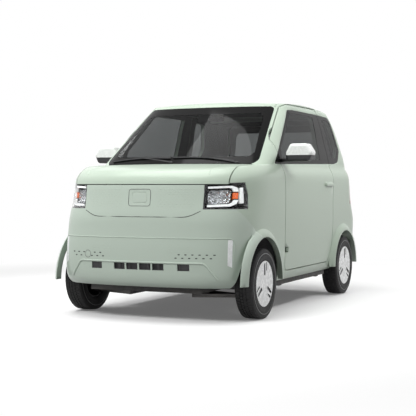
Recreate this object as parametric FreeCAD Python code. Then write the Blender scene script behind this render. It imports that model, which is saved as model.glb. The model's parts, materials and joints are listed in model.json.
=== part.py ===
import FreeCAD, Part
import math
import os

from FreeCAD import Vector

# Overall sizes: the front faces -Y, the car's left is +X, and lengths are
# measured from the front axle until the finished car is moved to its middle
wheelbase = 1938.0
front_overhang = 496.0
rear_overhang = 562.0
belt_height = 1118.0
body_half_width = 748.0
roof_height = 1648.0

# Clearances and cuts
overrun = 50.0
shut_gap = 6.0
hinge_side_gap = 7.0
seam = 0.4
seat_clearance = 0.3
pivot_clearance = 0.3
running_clearance = 0.05

# Walls
lower_wall = 60.0
upper_wall = 40.0
wing_wall = 12.0
bonnet_wall = 20.0
glass_wall = 5.0
glass_inset = 2.0
trim_inset = 1.0
trim_wall = 7.0

# Plan corners of the lower body
front_corner = 560.0
rear_corner = 330.0
side_handle_share = 0.28

# Lower body, bottom to top: height, half width, front reach, rear reach,
# front corner, rear corner and nose fullness, as shares of the sizes above
tub_shares = (
    (0.219, 0.955, 0.915, 0.690, 0.74, 0.85, 0.93),
    (0.268, 0.982, 0.975, 0.765, 0.74, 0.85, 0.93),
    (0.376, 0.992, 1.000, 0.905, 0.78, 0.90, 0.92),
    (0.519, 0.995, 1.000, 1.000, 0.84, 1.00, 0.90),
    (0.608, 0.998, 0.995, 0.978, 0.90, 1.00, 0.88),
    (0.715, 1.000, 0.975, 0.875, 1.00, 1.00, 0.84),
    (0.800, 1.000, 0.950, 0.835, 1.05, 1.00, 0.81),
    (0.865, 0.999, 0.932, 0.815, 1.06, 1.00, 0.80),
    (0.912, 0.994, 0.890, 0.805, 1.07, 1.00, 0.80),
    (0.957, 0.972, 0.790, 0.795, 1.08, 1.00, 0.80),
    (1.000, 0.936, 0.620, 0.778, 1.08, 1.00, 0.80),
    (1.045, 0.885, 0.380, 0.755, 1.08, 1.00, 0.80),
)

# Bonnet and belt surface at even steps of a tenth of the wheelbase, from
# ahead of the nose: heights at the middle and the sides as shares of the belt
crown_step_share = 0.1
crown_start_share = -0.3
bonnet_shares = (
    (0.905, 0.880),
    (0.955, 0.930),
    (0.982, 0.962),
    (0.997, 0.982),
    (1.005, 0.991),
    (1.009, 0.996),
    (1.011, 0.999),
    (1.013, 1.002),
    (1.015, 1.005),
    (1.017, 1.008),
    (1.018, 1.010),
    (1.019, 1.012),
    (1.020, 1.013),
    (1.021, 1.014),
    (1.022, 1.015),
    (1.023, 1.016),
    (1.024, 1.017),
)
bonnet_half_span = 900.0

# Upper body: height as a share of the roof height, then half width as a share
# of the body's, the front and rear of the section as shares of the wheelbase
upper_shares = (
    (0.576, 0.969, -0.0836, 1.236),
    (0.679, 0.936, 0.0335, 1.223),
    (0.734, 0.920, 0.0965, 1.210),
    (0.789, 0.893, 0.1590, 1.192),
    (0.880, 0.853, 0.2630, 1.152),
    (0.947, 0.813, 0.3390, 1.108),
    (1.015, 0.768, 0.4170, 1.044),
)
upper_front_corner = 290.0
upper_rear_corner = 300.0
upper_nose_share = 0.85

# Roof surface at the same steps: heights at the middle and at the edges as
# shares of the roof height
roof_start_share = -0.1
roof_shares = (
    (0.810, 0.760),
    (0.855, 0.805),
    (0.895, 0.845),
    (0.935, 0.893),
    (0.966, 0.928),
    (0.985, 0.951),
    (0.995, 0.964),
    (1.000, 0.969),
    (1.000, 0.969),
    (0.997, 0.966),
    (0.991, 0.959),
    (0.980, 0.947),
    (0.964, 0.928),
    (0.942, 0.903),
    (0.914, 0.872),
)
roof_half_span = 800.0

# Wheels and tyres
tyre_radius = 254.0
tyre_width = 145.0
rim_radius = 152.0
rim_width = 112.0
rim_wall = 8.0
cover_radius = 164.0
cover_wall = 5.0
wheel_outer_face = 766.0
bead_share = 0.84
hub_radius = 58.0
hub_wall = 14.0
stub_radius = 14.0

# Wheel openings
front_arch_radius = 335.0
rear_arch_radius = 308.0
flare_width = 58.0
flare_reach = 27.0
well_clearance = 10.0
well_wall = 6.0
front_well_inner = 452.0
rear_well_inner = 588.0
well_outer = 728.0

# Steering and front carrier
kingpin_offset = 575.0
upright_radius = 20.0
upright_low = 175.0
upright_high = 400.0
carrier_radius = 42.0
carrier_length = 66.0

# Floor and bulkhead
floor_low = 205.0
floor_wall = 40.0
floor_half_width = 700.0
floor_front = 372.0
heel_board = 1540.0
rear_floor_height = 420.0
rear_floor_wall = 30.0
rear_floor_end = 2330.0
bay_half_width = 438.0
jack_pad_x = 640.0
jack_pad_size = 60.0
jack_pad_drop = 15.0
jack_pad_places = (560.0, 1440.0)
bay_front = -400.0
bulkhead_wall = 26.0
plenum_height = 1035.0
plenum_wall = 10.0
plenum_front = 28.0
plenum_half_width = 600.0

# Bonnet
bonnet_rear_middle = 20.0
bonnet_rear_corner = 106.0
bonnet_rear_half_width = 622.0
bonnet_rear_radius = 3600.0
bonnet_front_half_width = 606.0
bonnet_front_edge = 968.0
bonnet_corner_radius = 30.0
bonnet_rear_gap = 13.0
bonnet_hinge_y = 140.0
bonnet_hinge_z = 1092.0
bonnet_arm_x = 450.0
bonnet_arm_width = 14.0
bonnet_arm_height = 18.0
bonnet_arm_dip = 38.0
bonnet_arm_bend = 40.0
bonnet_arm_reach = 112.0
bonnet_pin_radius = 5.0
bonnet_eye_radius = 11.0
bonnet_slot_width = 20.0

# Headlamps and the panel between them
lamp_inner = 470.0
lamp_low = 793.0
lamp_high = 967.0
lamp_outer_high = 983.0
lamp_end = -178.0
lamp_radius = 26.0
lamp_depth = 62.0
lamp_rim = 9.0
lens_wall = 3.5
panel_low = 738.0
panel_low_half_width = 372.0
panel_wall = 10.0
badge_width = 118.0
badge_height = 78.0
badge_radius = 16.0
badge_middle = 873.0
badge_depth = 2.0

# Bumpers
bumper_seam_top = -300.0
bumper_seam_arch = -70.0
bumper_low = 262.0
grille_half_width = 468.0
grille_low = 366.0
grille_high = 414.0
grille_bars = 11
grille_bar_width = 14.0
grille_depth = 26.0
grille_radius = 12.0
rear_bumper_top = 705.0
rear_bumper_seam = 2245.0

# Doors: the outline as shares of the wheelbase and the roof height, with each
# corner's radius as a share of the door's corner size
door_front = 472.0
door_low = 315.0
door_corner = 60.0
door_cut_inner = 560.0
pillar_face = 24.0
door_outline_shares = (
    (0.2436, 0.1911, 0.8),
    (0.2436, 0.6100, 2.0),
    (0.2560, 0.6800, 0.7),
    (0.2300, 0.7400, 0.7),
    (0.2300, 0.8050, 1.0),
    (0.3000, 0.8720, 2.5),
    (0.3920, 0.9500, 2.0),
    (0.4700, 0.9727, 1.0),
    (0.8230, 0.9727, 0.7),
    (0.8630, 0.6900, 3.0),
    (0.8450, 0.5000, 3.0),
    (0.8500, 0.3750, 1.0),
    (0.8330, 0.2700, 1.0),
    (0.7800, 0.1911, 1.0),
)
door_hinge_offset = 60.0
door_hinge_inset = 17.0
door_swing_radius = 140.0
door_hinge_heights = (470.0, 930.0)
hinge_notch_height = 44.0
hinge_leaf_height = 24.0
hinge_pin_radius = 4.0
hinge_eye_radius = 8.5
hinge_leg = 82.0
hinge_leg_width = 12.0
hinge_skin = 4.0
pillar_depth = 144.0
pillar_height = 1085.0

# Side windows, as shares of the wheelbase and the roof height: the whole dark
# area, then the pane of the door and that of the quarter
window_radius = 34.0
dark_outline_shares = (
    (0.1785, 0.6785, 0.3),
    (0.4500, 0.9440, 1.6),
    (0.5100, 0.9500, 1.0),
    (0.8000, 0.9480, 1.0),
    (0.9950, 0.9430, 2.6),
    (1.0500, 0.7700, 1.0),
    (0.9980, 0.7050, 1.2),
    (0.9400, 0.6940, 0.6),
)
door_pane_shares = (
    (0.2700, 0.7080, 0.6),
    (0.2800, 0.7500, 0.6),
    (0.4650, 0.9320, 1.2),
    (0.7550, 0.9330, 0.5),
    (0.7480, 0.7120, 0.5),
)
quarter_pane_shares = (
    (0.9050, 0.7260, 0.5),
    (0.8800, 0.9260, 0.5),
    (0.9800, 0.9220, 2.0),
    (1.0300, 0.7760, 0.8),
    (0.9840, 0.7260, 0.8),
)

# Tailgate
gate_half_width = 575.0
gate_top_half_width = 500.0
gate_low = 712.0
gate_front = 2040.0
gate_front_gap = 9.0
gate_corner_radius = 60.0
gate_glass_low = 1160.0
gate_glass_top = 1508.0
gate_glass_margin = 62.0
gate_hinge_back = 6.0
gate_hinge_inset = 7.0
gate_hinge_x = 160.0
gate_hinge_width = 34.0
gate_barrel_radius = 6.0
gate_pin_radius = 3.0

# Tail lamps
tail_lamp_inner = 590.0
tail_lamp_low = 790.0
tail_lamp_high = 1085.0
tail_lamp_front = 2140.0
tail_lamp_depth = 26.0

# Windscreen and roof panel
screen_low = 1119.0
screen_low_half_width = 640.0
screen_top = 1582.0
screen_top_half_width = 540.0
screen_radius = 40.0
roof_panel_half_width = 540.0

# Seats
seat_x = 330.0
seat_width = 440.0
seat_front = 800.0
seat_length = 440.0
seat_height = 400.0
cushion_height = 130.0
seat_back_depth = 120.0
seat_back_height = 620.0
seat_back_lean = 90.0
headrest_width = 250.0
headrest_height = 170.0
headrest_depth = 80.0
bench_front = 1560.0
bench_length = 340.0
bench_width = 1060.0
bench_back_depth = 90.0
bench_back_height = 560.0
seat_radius = 28.0

# Dashboard and steering wheel
dash_half_width = 590.0
dash_low = 730.0
dash_top = 1072.0
dash_rear = 690.0
dash_front = 215.0
dash_radius = 24.0
column_x = 330.0
column_y = 800.0
column_z = 985.0
column_angle = 25.0
column_radius = 24.0
column_length = 190.0
steering_radius = 178.0
steering_rim = 13.0
steering_hub_radius = 62.0
steering_hub_wall = 34.0
spoke_width = 34.0
spoke_wall = 12.0

# Mirrors
mirror_inner = 730.0
mirror_outer = 945.0
mirror_front = 500.0
mirror_depth = 95.0
mirror_low = 1140.0
mirror_high = 1276.0
mirror_radius = 30.0
stalk_length = 60.0
stalk_height = 22.0
room_mirror_width = 220.0
room_mirror_height = 60.0
room_mirror_depth = 26.0
room_mirror_z = 1500.0
room_mirror_y = 735.0
room_mirror_stem = 7.0

# Door handles
handle_rear = 1618.0
handle_length = 185.0
handle_low = 950.0
handle_height = 30.0
handle_reach = 16.0

# Running gear
battery_width = 900.0
battery_length = 980.0
battery_height = 54.0
battery_front = 480.0
motor_radius = 98.0
motor_length = 300.0
motor_x = -60.0
axle_tube_radius = 26.0
axle_half_length = 580.0
spring_x = 430.0
spring_radius = 38.0
arm_wall = 26.0
arm_inner = 250.0
arm_spread = 150.0
strut_radius = 24.0

# Derived places
side_reach = body_half_width + overrun
rear_axle = wheelbase
tyre_middle = wheel_outer_face - tyre_width/2
tub_bottom = tub_shares[0][0]*belt_height
door_axis_x = body_half_width - door_hinge_inset
door_axis_y = door_front + door_hinge_offset
car_length = front_overhang + wheelbase + rear_overhang
car_shift = Vector(0, front_overhang - car_length/2, 0)
bulkhead_y = floor_front
pillar_inner = body_half_width-pillar_depth
sill_front = front_arch_radius+well_clearance+well_wall+seat_clearance


def box(x0, x1, y0, y1, z0, z1):
    return Part.makeBox(x1-x0, y1-y0, z1-z0, Vector(x0, y0, z0))


def along_x(radius, x0, x1, y, z):
    return Part.makeCylinder(radius, x1-x0, Vector(x0, y, z), Vector(1, 0, 0))


def upright(radius, x, y, z0, z1):
    return Part.makeCylinder(radius, z1-z0, Vector(x, y, z0))


def mirrored(shape):
    return shape.mirror(Vector(0, 0, 0), Vector(1, 0, 0))


def both(shape):
    return Part.makeCompound([shape, mirrored(shape)])


def joined(shapes):
    result = shapes[0]
    for shape in shapes[1:]:
        result = result.fuse(shape)
    return result.removeSplitter()


def rounded_wire(points, radius):
    """A closed outline through the points, each corner an arc."""
    radii = radius if isinstance(radius, (tuple, list)) else [radius]*len(points)
    starts = []
    count = len(points)
    for index, corner in enumerate(points):
        before = (points[index-1]-corner)
        after = (points[(index+1) % count]-corner)
        before.normalize()
        after.normalize()
        half = before.getAngle(after)/2
        back = radii[index]/math.tan(half)
        middle = before+after
        middle.normalize()
        arc_middle = corner+middle*(radii[index]/math.sin(half)-radii[index])
        starts.append((corner+before*back, arc_middle, corner+after*back, radii[index]))
    edges = []
    for index, (start, middle, end, size) in enumerate(starts):
        if size > 0:
            edges.append(Part.Arc(start, middle, end).toShape())
        following = starts[(index+1) % count][0]
        if (following-end).Length > seat_clearance/10:
            edges.append(Part.makeLine(end, following))
    return Part.Wire(edges)


def prism(points, radius, start, end, grow):
    """An outline, grown by a gap, run from start to end."""
    face = Part.Face(rounded_wire(points, radius))
    if grow:
        face = Part.Face(face.makeOffset2D(grow).OuterWire)
    face.translate(start)
    return face.extrude(end-start)


def side_prism(points, radius, x0, x1, grow=0):
    flat = [Vector(0, y, z) for y, z in points]
    return prism(flat, radius, Vector(x0, 0, 0), Vector(x1, 0, 0), grow)


def front_prism(points, radius, y0, y1, grow=0):
    flat = [Vector(x, 0, z) for x, z in points]
    return prism(flat, radius, Vector(0, y0, 0), Vector(0, y1, 0), grow)


def plan_prism(points, radius, z0, z1, grow=0):
    flat = [Vector(x, y, 0) for x, y in points]
    return prism(flat, radius, Vector(0, 0, z0), Vector(0, 0, z1), grow)


def corner_curve(half_width, end, side, height, hand, nose_share):
    curve = Part.BezierCurve()
    curve.setPoles([
        Vector(0, end, height),
        Vector(hand*nose_share*half_width, end, height),
        Vector(hand*half_width, side+(end-side)*(1-side_handle_share), height),
        Vector(hand*half_width, side, height)])
    return curve.toShape()


def plan_outline(height, half_width, front, rear, front_round, rear_round, nose_share):
    front_side = front+front_round
    rear_side = rear-rear_round
    edges = []
    for hand in (1, -1):
        edges.append(corner_curve(half_width, front, front_side, height, hand, nose_share))
        edges.append(Part.makeLine(Vector(hand*half_width, front_side, height),
                                   Vector(hand*half_width, rear_side, height)))
        edges.append(corner_curve(half_width, rear, rear_side, height, hand, nose_share))
    return Part.Wire(Part.__sortEdges__(edges))


def crown(shares, first, span, base, height, inset):
    """The space below a surface of arcs that run across the car."""
    outlines = []
    for index, (middle, edge) in enumerate(shares):
        y = (first+index*crown_step_share)*wheelbase
        left = Vector(-span, y, edge*height-inset)
        top = Vector(0, y, middle*height-inset)
        right = Vector(span, y, edge*height-inset)
        foot_left = Vector(-span, y, base)
        foot_right = Vector(span, y, base)
        outlines.append(Part.Wire([
            Part.Arc(left, top, right).toShape(),
            Part.makeLine(right, foot_right),
            Part.makeLine(foot_right, foot_left),
            Part.makeLine(foot_left, left)]))
    return Part.makeLoft(outlines, True, False)


kept_blocks = {}


def lower_block(inset):
    """The lower body's solid volume, shrunk by an inset."""
    key = ("lower", inset)
    if key not in kept_blocks:
        outlines = []
        for level, width, front, rear, front_round, rear_round, nose in tub_shares:
            outlines.append(plan_outline(
                level*belt_height, width*body_half_width-inset,
                inset-front*front_overhang, wheelbase+rear*rear_overhang-inset,
                front_round*front_corner, rear_round*rear_corner, nose))
        tub = Part.makeLoft(outlines, True, False)
        top = crown(bonnet_shares, crown_start_share, bonnet_half_span, 0, belt_height, inset)
        kept_blocks[key] = tub.common(top)
    return kept_blocks[key]


def upper_block(inset):
    """The upper body's solid volume, shrunk by an inset."""
    key = ("upper", inset)
    if key not in kept_blocks:
        outlines = []
        for level, width, front, rear in upper_shares:
            outlines.append(plan_outline(
                level*roof_height, width*body_half_width-inset,
                front*wheelbase+inset, rear*wheelbase-inset,
                upper_front_corner, upper_rear_corner, upper_nose_share))
        cabin = Part.makeLoft(outlines, True, False)
        top = crown(roof_shares, roof_start_share, roof_half_span, 0, roof_height, inset)
        kept_blocks[key] = cabin.common(top)
    return kept_blocks[key]


def lower_shell(outer, inner):
    return lower_block(outer).cut(lower_block(inner))


def upper_shell(outer, inner):
    return upper_block(outer).cut(upper_block(inner))


def cabin_shell():
    """Outer skin to inner lining of the doors, sides, roof and tailgate."""
    key = "cabin shell"
    if key not in kept_blocks:
        outer = lower_block(0).fuse(upper_block(0))
        inner = lower_block(lower_wall).fuse(upper_block(upper_wall))
        kept_blocks[key] = outer.cut(inner)
    return kept_blocks[key]


# Regions of the panels, each grown by a gap where a neighbour is cut by it

def share_outline(shares, size):
    points = [(y*wheelbase, z*roof_height) for y, z, bend in shares]
    radii = [bend*size for y, z, bend in shares]
    return points, radii


def door_region(grow=0):
    points, radii = share_outline(door_outline_shares, door_corner)
    return side_prism(points, radii, door_cut_inner, side_reach, grow)


def door_space(grow=0):
    """The door's region, kept clear of the screen by the pillar's face."""
    return door_region(grow).cut(screen_region(pillar_face-grow))


def door_swing():
    """The space beside the screen pillar that the open door's frame turns into."""
    sweep = upright(door_swing_radius, door_axis_x, door_axis_y, belt_height, roof_height)
    return door_region(shut_gap).common(sweep)


def side_window(shares, grow=0):
    points, radii = share_outline(shares, window_radius)
    return side_prism(points, radii, door_cut_inner, side_reach, grow)


def bonnet_region(grow=0):
    outline = (
        (-bonnet_front_half_width, -front_overhang-overrun),
        (bonnet_front_half_width, -front_overhang-overrun),
        (bonnet_rear_half_width, bonnet_rear_corner),
        (0, bonnet_rear_middle),
        (-bonnet_rear_half_width, bonnet_rear_corner),
    )
    radii = [0, 0, bonnet_corner_radius, bonnet_rear_radius, bonnet_corner_radius]
    region = plan_prism(outline, radii, bonnet_front_edge-grow, roof_height, grow)
    return region


def cowl_region(grow=0):
    outline = (
        (-plenum_half_width, bonnet_rear_middle-overrun),
        (plenum_half_width, bonnet_rear_middle-overrun),
        (plenum_half_width, bonnet_hinge_y*2),
        (-plenum_half_width, bonnet_hinge_y*2),
    )
    return plan_prism(outline, 0, plenum_height+plenum_wall+seat_clearance, roof_height, grow)


def lamp_region(grow=0):
    face = (
        (lamp_inner, lamp_low),
        (lamp_inner, lamp_high),
        (body_half_width, lamp_outer_high),
        (side_reach, lamp_outer_high),
        (side_reach, lamp_low),
    )
    front = front_prism(face, [4*seam, 4*seam, lamp_radius*4, 0, 0],
                        -front_overhang-overrun, 0, grow)
    middle = (lamp_low+lamp_outer_high)/2
    side = (
        (-front_overhang-overrun*2, lamp_low-overrun),
        (lamp_end-lamp_radius, lamp_low-overrun),
        (lamp_end, middle),
        (lamp_end-lamp_radius, lamp_outer_high+overrun),
        (-front_overhang-overrun*2, lamp_outer_high+overrun),
    )
    outline = side_prism(side, [0, 0, lamp_radius, 0, 0], lamp_inner-overrun, side_reach, grow)
    return front.common(outline)


def panel_region(grow=0):
    outline = (
        (-lamp_inner, lamp_low),
        (-panel_low_half_width, panel_low),
        (panel_low_half_width, panel_low),
        (lamp_inner, lamp_low),
        (lamp_inner, bonnet_front_edge-shut_gap),
        (-lamp_inner, bonnet_front_edge-shut_gap),
    )
    big = lamp_radius*3
    return front_prism(outline, [0, big, big, 0, 0, 0], -front_overhang-overrun, lamp_end, grow)


def front_bumper_region(grow=0):
    outline = (
        (-front_overhang-overrun, 0),
        (bumper_seam_arch, 0),
        (bumper_seam_arch, front_arch_radius+tyre_radius),
        (bumper_seam_top, lamp_low),
        (bumper_seam_top, lamp_low+overrun),
        (-front_overhang-overrun, lamp_low+overrun),
    )
    return side_prism(outline, 0, -side_reach, side_reach, grow)


def rear_bumper_region(grow=0):
    outline = (
        (rear_axle, 0),
        (rear_axle+rear_arch_radius*0.72, tyre_radius+rear_arch_radius*0.69),
        (rear_bumper_seam, rear_bumper_top),
        (rear_axle+rear_overhang+overrun, rear_bumper_top),
        (rear_axle+rear_overhang+overrun, 0),
    )
    return side_prism(outline, 0, -side_reach, side_reach, grow)


def gate_region(grow=0):
    """The tailgate's outline, which runs up over the roof's rear edge."""
    outline = (
        (-gate_half_width, gate_low),
        (gate_half_width, gate_low),
        (gate_half_width, belt_height),
        (gate_top_half_width, roof_height+overrun),
        (-gate_top_half_width, roof_height+overrun),
        (-gate_half_width, belt_height),
    )
    r = gate_corner_radius
    front = gate_front-(gate_front_gap if grow else 0)
    return front_prism(outline, [r, r, r*6, 0, 0, r*6], front,
                       rear_axle+rear_overhang+overrun, grow)


def gate_window(grow=0):
    margin = gate_glass_margin
    outline = (
        (-gate_half_width+margin, gate_glass_low),
        (gate_half_width-margin, gate_glass_low),
        (gate_top_half_width-margin, gate_glass_top),
        (-gate_top_half_width+margin, gate_glass_top),
    )
    return front_prism(outline, gate_corner_radius, rear_axle,
                       rear_axle+rear_overhang+overrun, grow)


def screen_region(grow=0):
    outline = (
        (-screen_low_half_width, screen_low),
        (screen_low_half_width, screen_low),
        (screen_top_half_width, screen_top),
        (-screen_top_half_width, screen_top),
    )
    return front_prism(outline, screen_radius, -front_overhang, wheelbase/2, grow)


def roof_region(grow=0):
    width = roof_panel_half_width
    low = side_prism((
        (0, screen_top+overrun/10),
        (rear_axle+rear_overhang, screen_top-overrun/10),
        (rear_axle+rear_overhang, roof_height+overrun),
        (0, roof_height+overrun)), 0, -width-grow, width+grow, grow)
    return low


def tail_lamp_region(grow=0):
    outline = (
        (tail_lamp_inner, tail_lamp_low),
        (side_reach, tail_lamp_low),
        (side_reach, tail_lamp_high),
        (tail_lamp_inner, tail_lamp_high),
    )
    return front_prism(outline, [lamp_radius/2, 0, 0, lamp_radius/2], tail_lamp_front,
                       rear_axle+rear_overhang+overrun, grow)


# Wheel openings

def arch_cutter(axle, radius):
    return along_x(radius, body_half_width/2, side_reach+overrun, axle, tyre_radius)


def flare(axle, radius):
    """The rounded lip that stands out round a wheel opening."""
    base = body_half_width-wing_wall
    lip = body_half_width+flare_reach
    points = (
        Vector(base, 0, radius),
        Vector(lip, 0, radius),
        Vector(lip, 0, radius+flare_width*0.35),
        Vector(body_half_width, 0, radius+flare_width),
        Vector(base, 0, radius+flare_width*1.1),
    )
    outline = Part.makePolygon(list(points)+[points[0]])
    ring = Part.Face(outline).revolve(Vector(0, 0, 0), Vector(1, 0, 0), 360)
    ring.translate(Vector(0, axle, tyre_radius))
    keep = box(0, side_reach+overrun, axle-2*radius, axle+2*radius, bumper_low, belt_height)
    return ring.common(keep)


# Body panels

def fenders():
    skin = lower_shell(0, wing_wall)
    reach = box(0, side_reach+overrun, -front_overhang-overrun, door_front+overrun*2,
                bumper_low, belt_height-seam)
    left = skin.common(reach).fuse(flare(0, front_arch_radius))
    left = left.common(reach).cut(arch_cutter(0, front_arch_radius))
    left = left.cut([door_region(hinge_side_gap), bonnet_region(shut_gap), lamp_region(seam),
                     front_bumper_region(seam), panel_region(seam), cowl_region(seam)])
    left = left.cut(box(0, side_reach+overrun, sill_front-seam, wheelbase, 0, door_low))
    left = left.cut([upper_block(-seam), bonnet_swing()])
    return largest(left)


def largest(shape):
    return max(shape.Solids, key=lambda solid: solid.Volume)


def front_bumper():
    skin = lower_shell(0, wing_wall)
    skin = skin.common(front_bumper_region())
    for hand_flare in (flare(0, front_arch_radius), mirrored(flare(0, front_arch_radius))):
        skin = skin.fuse(hand_flare.common(front_bumper_region()))
    cutter = arch_cutter(0, front_arch_radius)
    skin = skin.cut([cutter, mirrored(cutter), lamp_region(seam), mirrored(lamp_region(seam)),
                     panel_region(seam), grille_region(seam)])
    return largest(skin)


def grille_region(grow=0):
    outline = (
        (-grille_half_width, grille_low),
        (grille_half_width, grille_low),
        (grille_half_width, grille_high),
        (-grille_half_width, grille_high),
    )
    return front_prism(outline, grille_radius, -front_overhang-overrun, lamp_end, grow)


def lower_grille():
    backing = lower_shell(wing_wall/2, wing_wall+grille_depth).common(grille_region())
    pitch = 2*grille_half_width/(grille_bars+1)
    slot_low = grille_low+grille_radius/2
    slot_high = grille_high-grille_radius/2
    for index in range(grille_bars+1):
        start = -grille_half_width+index*pitch+grille_bar_width/2
        slot = box(start, start+pitch-grille_bar_width, -front_overhang-overrun,
                   -front_overhang+wing_wall+grille_depth/2, slot_low, slot_high)
        backing = backing.cut(slot)
    return backing


def front_panel():
    panel = lower_shell(0, panel_wall).common(panel_region())
    outer = badge_outline(badge_width, badge_height, badge_radius)
    inner = badge_outline(badge_width-4*badge_depth, badge_height-4*badge_depth,
                          badge_radius-2*badge_depth)
    groove = outer.cut(inner).common(lower_shell(-overrun, badge_depth))
    return panel.cut(groove)


def badge_outline(width, height, radius):
    outline = (
        (-width/2, badge_middle-height/2),
        (width/2, badge_middle-height/2),
        (width/2, badge_middle+height/2),
        (-width/2, badge_middle+height/2),
    )
    return front_prism(outline, radius, -front_overhang-overrun, lamp_end)


def bonnet():
    skin = lower_shell(0, bonnet_wall).common(bonnet_region())
    skin = skin.cut(upper_block(-shut_gap))
    skin = largest(skin)
    return joined([skin, bonnet_arm(1), bonnet_arm(-1)])


def bonnet_arm(hand):
    """A gooseneck arm that dips below the screen's foot to its pivot."""
    start = hand*bonnet_arm_x-bonnet_arm_width/2
    end = start+bonnet_arm_width
    half = bonnet_arm_height/2
    low = bonnet_hinge_z-bonnet_arm_dip
    front = bonnet_hinge_y-bonnet_arm_reach
    bend = bonnet_hinge_y-bonnet_arm_bend
    outline = (
        (bonnet_hinge_y, bonnet_hinge_z-half),
        (bend, low),
        (bend-bonnet_arm_bend, low+half*0.8),
        (front, bonnet_hinge_z),
        (front, belt_height),
        (front+2*half, belt_height),
        (front+2*half, bonnet_hinge_z),
        (bend-bonnet_arm_bend*0.8, low+3*half),
        (bend-half/2, low+2.2*half),
        (bonnet_hinge_y, bonnet_hinge_z+half),
    )
    arm = side_prism(outline, [0, half, half, half/2, 0, 0, half/2, half/2, half/2, 0], start, end)
    arm = arm.common(lower_block(bonnet_wall/2))
    eye = along_x(bonnet_eye_radius, start, end, bonnet_hinge_y, bonnet_hinge_z)
    bore = along_x(bonnet_pin_radius+pivot_clearance, start-overrun, end+overrun,
                   bonnet_hinge_y, bonnet_hinge_z)
    return arm.fuse(eye).cut(bore)


def bonnet_swing():
    """The space behind the bonnet's rear edge that it needs to tip up."""
    behind = box(-side_reach, side_reach, bonnet_rear_middle-overrun, bonnet_hinge_y*2,
                 plenum_height, roof_height)
    return bonnet_region(bonnet_rear_gap).common(behind)


def headlamps():
    bowl = lower_shell(lens_wall+2*seam, lamp_depth).common(lamp_region())
    hollow = lower_shell(lens_wall, lamp_depth-lamp_rim).common(lamp_region(-lamp_rim))
    left = bowl.cut(hollow).cut(bonnet_region(shut_gap))
    return both(largest(left))


def headlamp_lenses():
    left = lower_shell(seam, lens_wall).common(lamp_region()).cut(bonnet_region(shut_gap))
    return both(largest(left))


def side_frame():
    """One side of the body: pillars, roof rail, sill and rear quarter."""
    shell = cabin_shell()
    front = box(0, side_reach+overrun, -overrun, rear_axle+rear_overhang+overrun,
                0, roof_height+overrun)
    left = shell.common(front)
    ahead = box(0, side_reach+overrun, -overrun, door_front+overrun, 0, screen_low)
    left = left.cut(ahead)
    foot = upper_shell(0, upper_wall).common(
        box(pillar_inner, side_reach, -overrun, door_front-hinge_side_gap,
            pillar_height-overrun, screen_low))
    left = left.fuse(foot)
    sill = lower_shell(0, lower_wall).common(
        box(door_cut_inner, side_reach, sill_front, door_front+overrun, 0, door_low-seam))
    left = left.fuse(sill)
    pillar = lower_block(wing_wall+seam).common(
        box(pillar_inner, side_reach, sill_front, door_front-hinge_side_gap,
            floor_low+floor_wall+seat_clearance, pillar_height))
    left = left.fuse(pillar)
    left = left.fuse(flare(rear_axle, rear_arch_radius))
    left = left.cut(box(-overrun, 0, -overrun, wheelbase*2, 0, roof_height*2))
    left = left.cut([arch_cutter(rear_axle, rear_arch_radius), screen_region(seam),
                     roof_region(seam), gate_region(shut_gap), rear_bumper_region(seam),
                     tail_lamp_region(seam), bonnet_swing(), door_swing(),
                     side_window(quarter_pane_shares), door_space(shut_gap)])
    recess = side_window(dark_outline_shares).common(upper_shell(-overrun, trim_inset+trim_wall))
    left = left.cut(recess)
    left = largest(left)
    return joined([left]+door_hinge_arms())


def door_hinge_arms():
    arms = []
    for height in door_hinge_heights:
        low = height-hinge_leaf_height/2
        high = height+hinge_leaf_height/2
        eye = upright(hinge_eye_radius, door_axis_x, door_axis_y, low, high)
        across = box(door_axis_x-hinge_leg, door_axis_x, door_axis_y-hinge_leg_width/2,
                     door_axis_y+hinge_leg_width/2, low, high)
        along = box(door_axis_x-hinge_leg, door_axis_x-hinge_leg+hinge_leg_width,
                    door_front-hinge_side_gap-seam, door_axis_y+hinge_leg_width/2, low, high)
        bore = upright(hinge_pin_radius+pivot_clearance, door_axis_x, door_axis_y,
                       low-overrun, high+overrun)
        arms.append(eye.fuse(across).fuse(along).cut(bore))
    return arms


def door():
    left = cabin_shell().common(door_space())
    left = largest(left)
    left = left.cut(side_window(door_pane_shares))
    recess = side_window(dark_outline_shares).common(upper_shell(-overrun, trim_inset+trim_wall))
    left = left.cut(recess)
    for height in door_hinge_heights:
        low = height-hinge_notch_height/2
        high = height+hinge_notch_height/2
        notch = box(door_cut_inner, body_half_width-hinge_skin-2*seam, door_front-overrun,
                    door_axis_y+hinge_eye_radius+pivot_clearance*10, low, high)
        left = left.cut(notch)
        pin = upright(hinge_pin_radius, door_axis_x, door_axis_y, low-overrun/10, high+overrun/10)
        left = left.fuse(pin)
    return joined([largest(left), door_handle()])


def door_handle():
    x0 = body_half_width-wing_wall
    front = handle_rear-handle_length
    grip = box(x0, body_half_width+handle_reach, front, handle_rear,
               handle_low, handle_low+handle_height)
    grip = grip.makeFillet(handle_height/3, [edge for edge in grip.Edges])
    under = box(x0-overrun/10, body_half_width+handle_reach*0.55, front+handle_height,
                handle_rear-handle_height, handle_low-overrun, handle_low+handle_height*0.55)
    return grip.cut(under)


def door_trim():
    ring = side_window(dark_outline_shares).cut(side_window(door_pane_shares, seam))
    left = upper_shell(trim_inset, trim_inset+trim_wall-pivot_clearance).common(ring)
    return largest(left.common(door_space()))


def quarter_trim():
    ring = side_window(dark_outline_shares).cut(side_window(quarter_pane_shares, seam))
    left = upper_shell(trim_inset, trim_inset+trim_wall-pivot_clearance).common(ring)
    left = left.cut(door_space(shut_gap))
    pieces = [solid for solid in left.Solids if solid.BoundBox.DiagonalLength > overrun]
    return Part.makeCompound(pieces+[mirrored(piece) for piece in pieces])


def pane(shares):
    left = upper_shell(glass_inset, glass_inset+glass_wall).common(side_window(shares))
    return largest(left)


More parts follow.
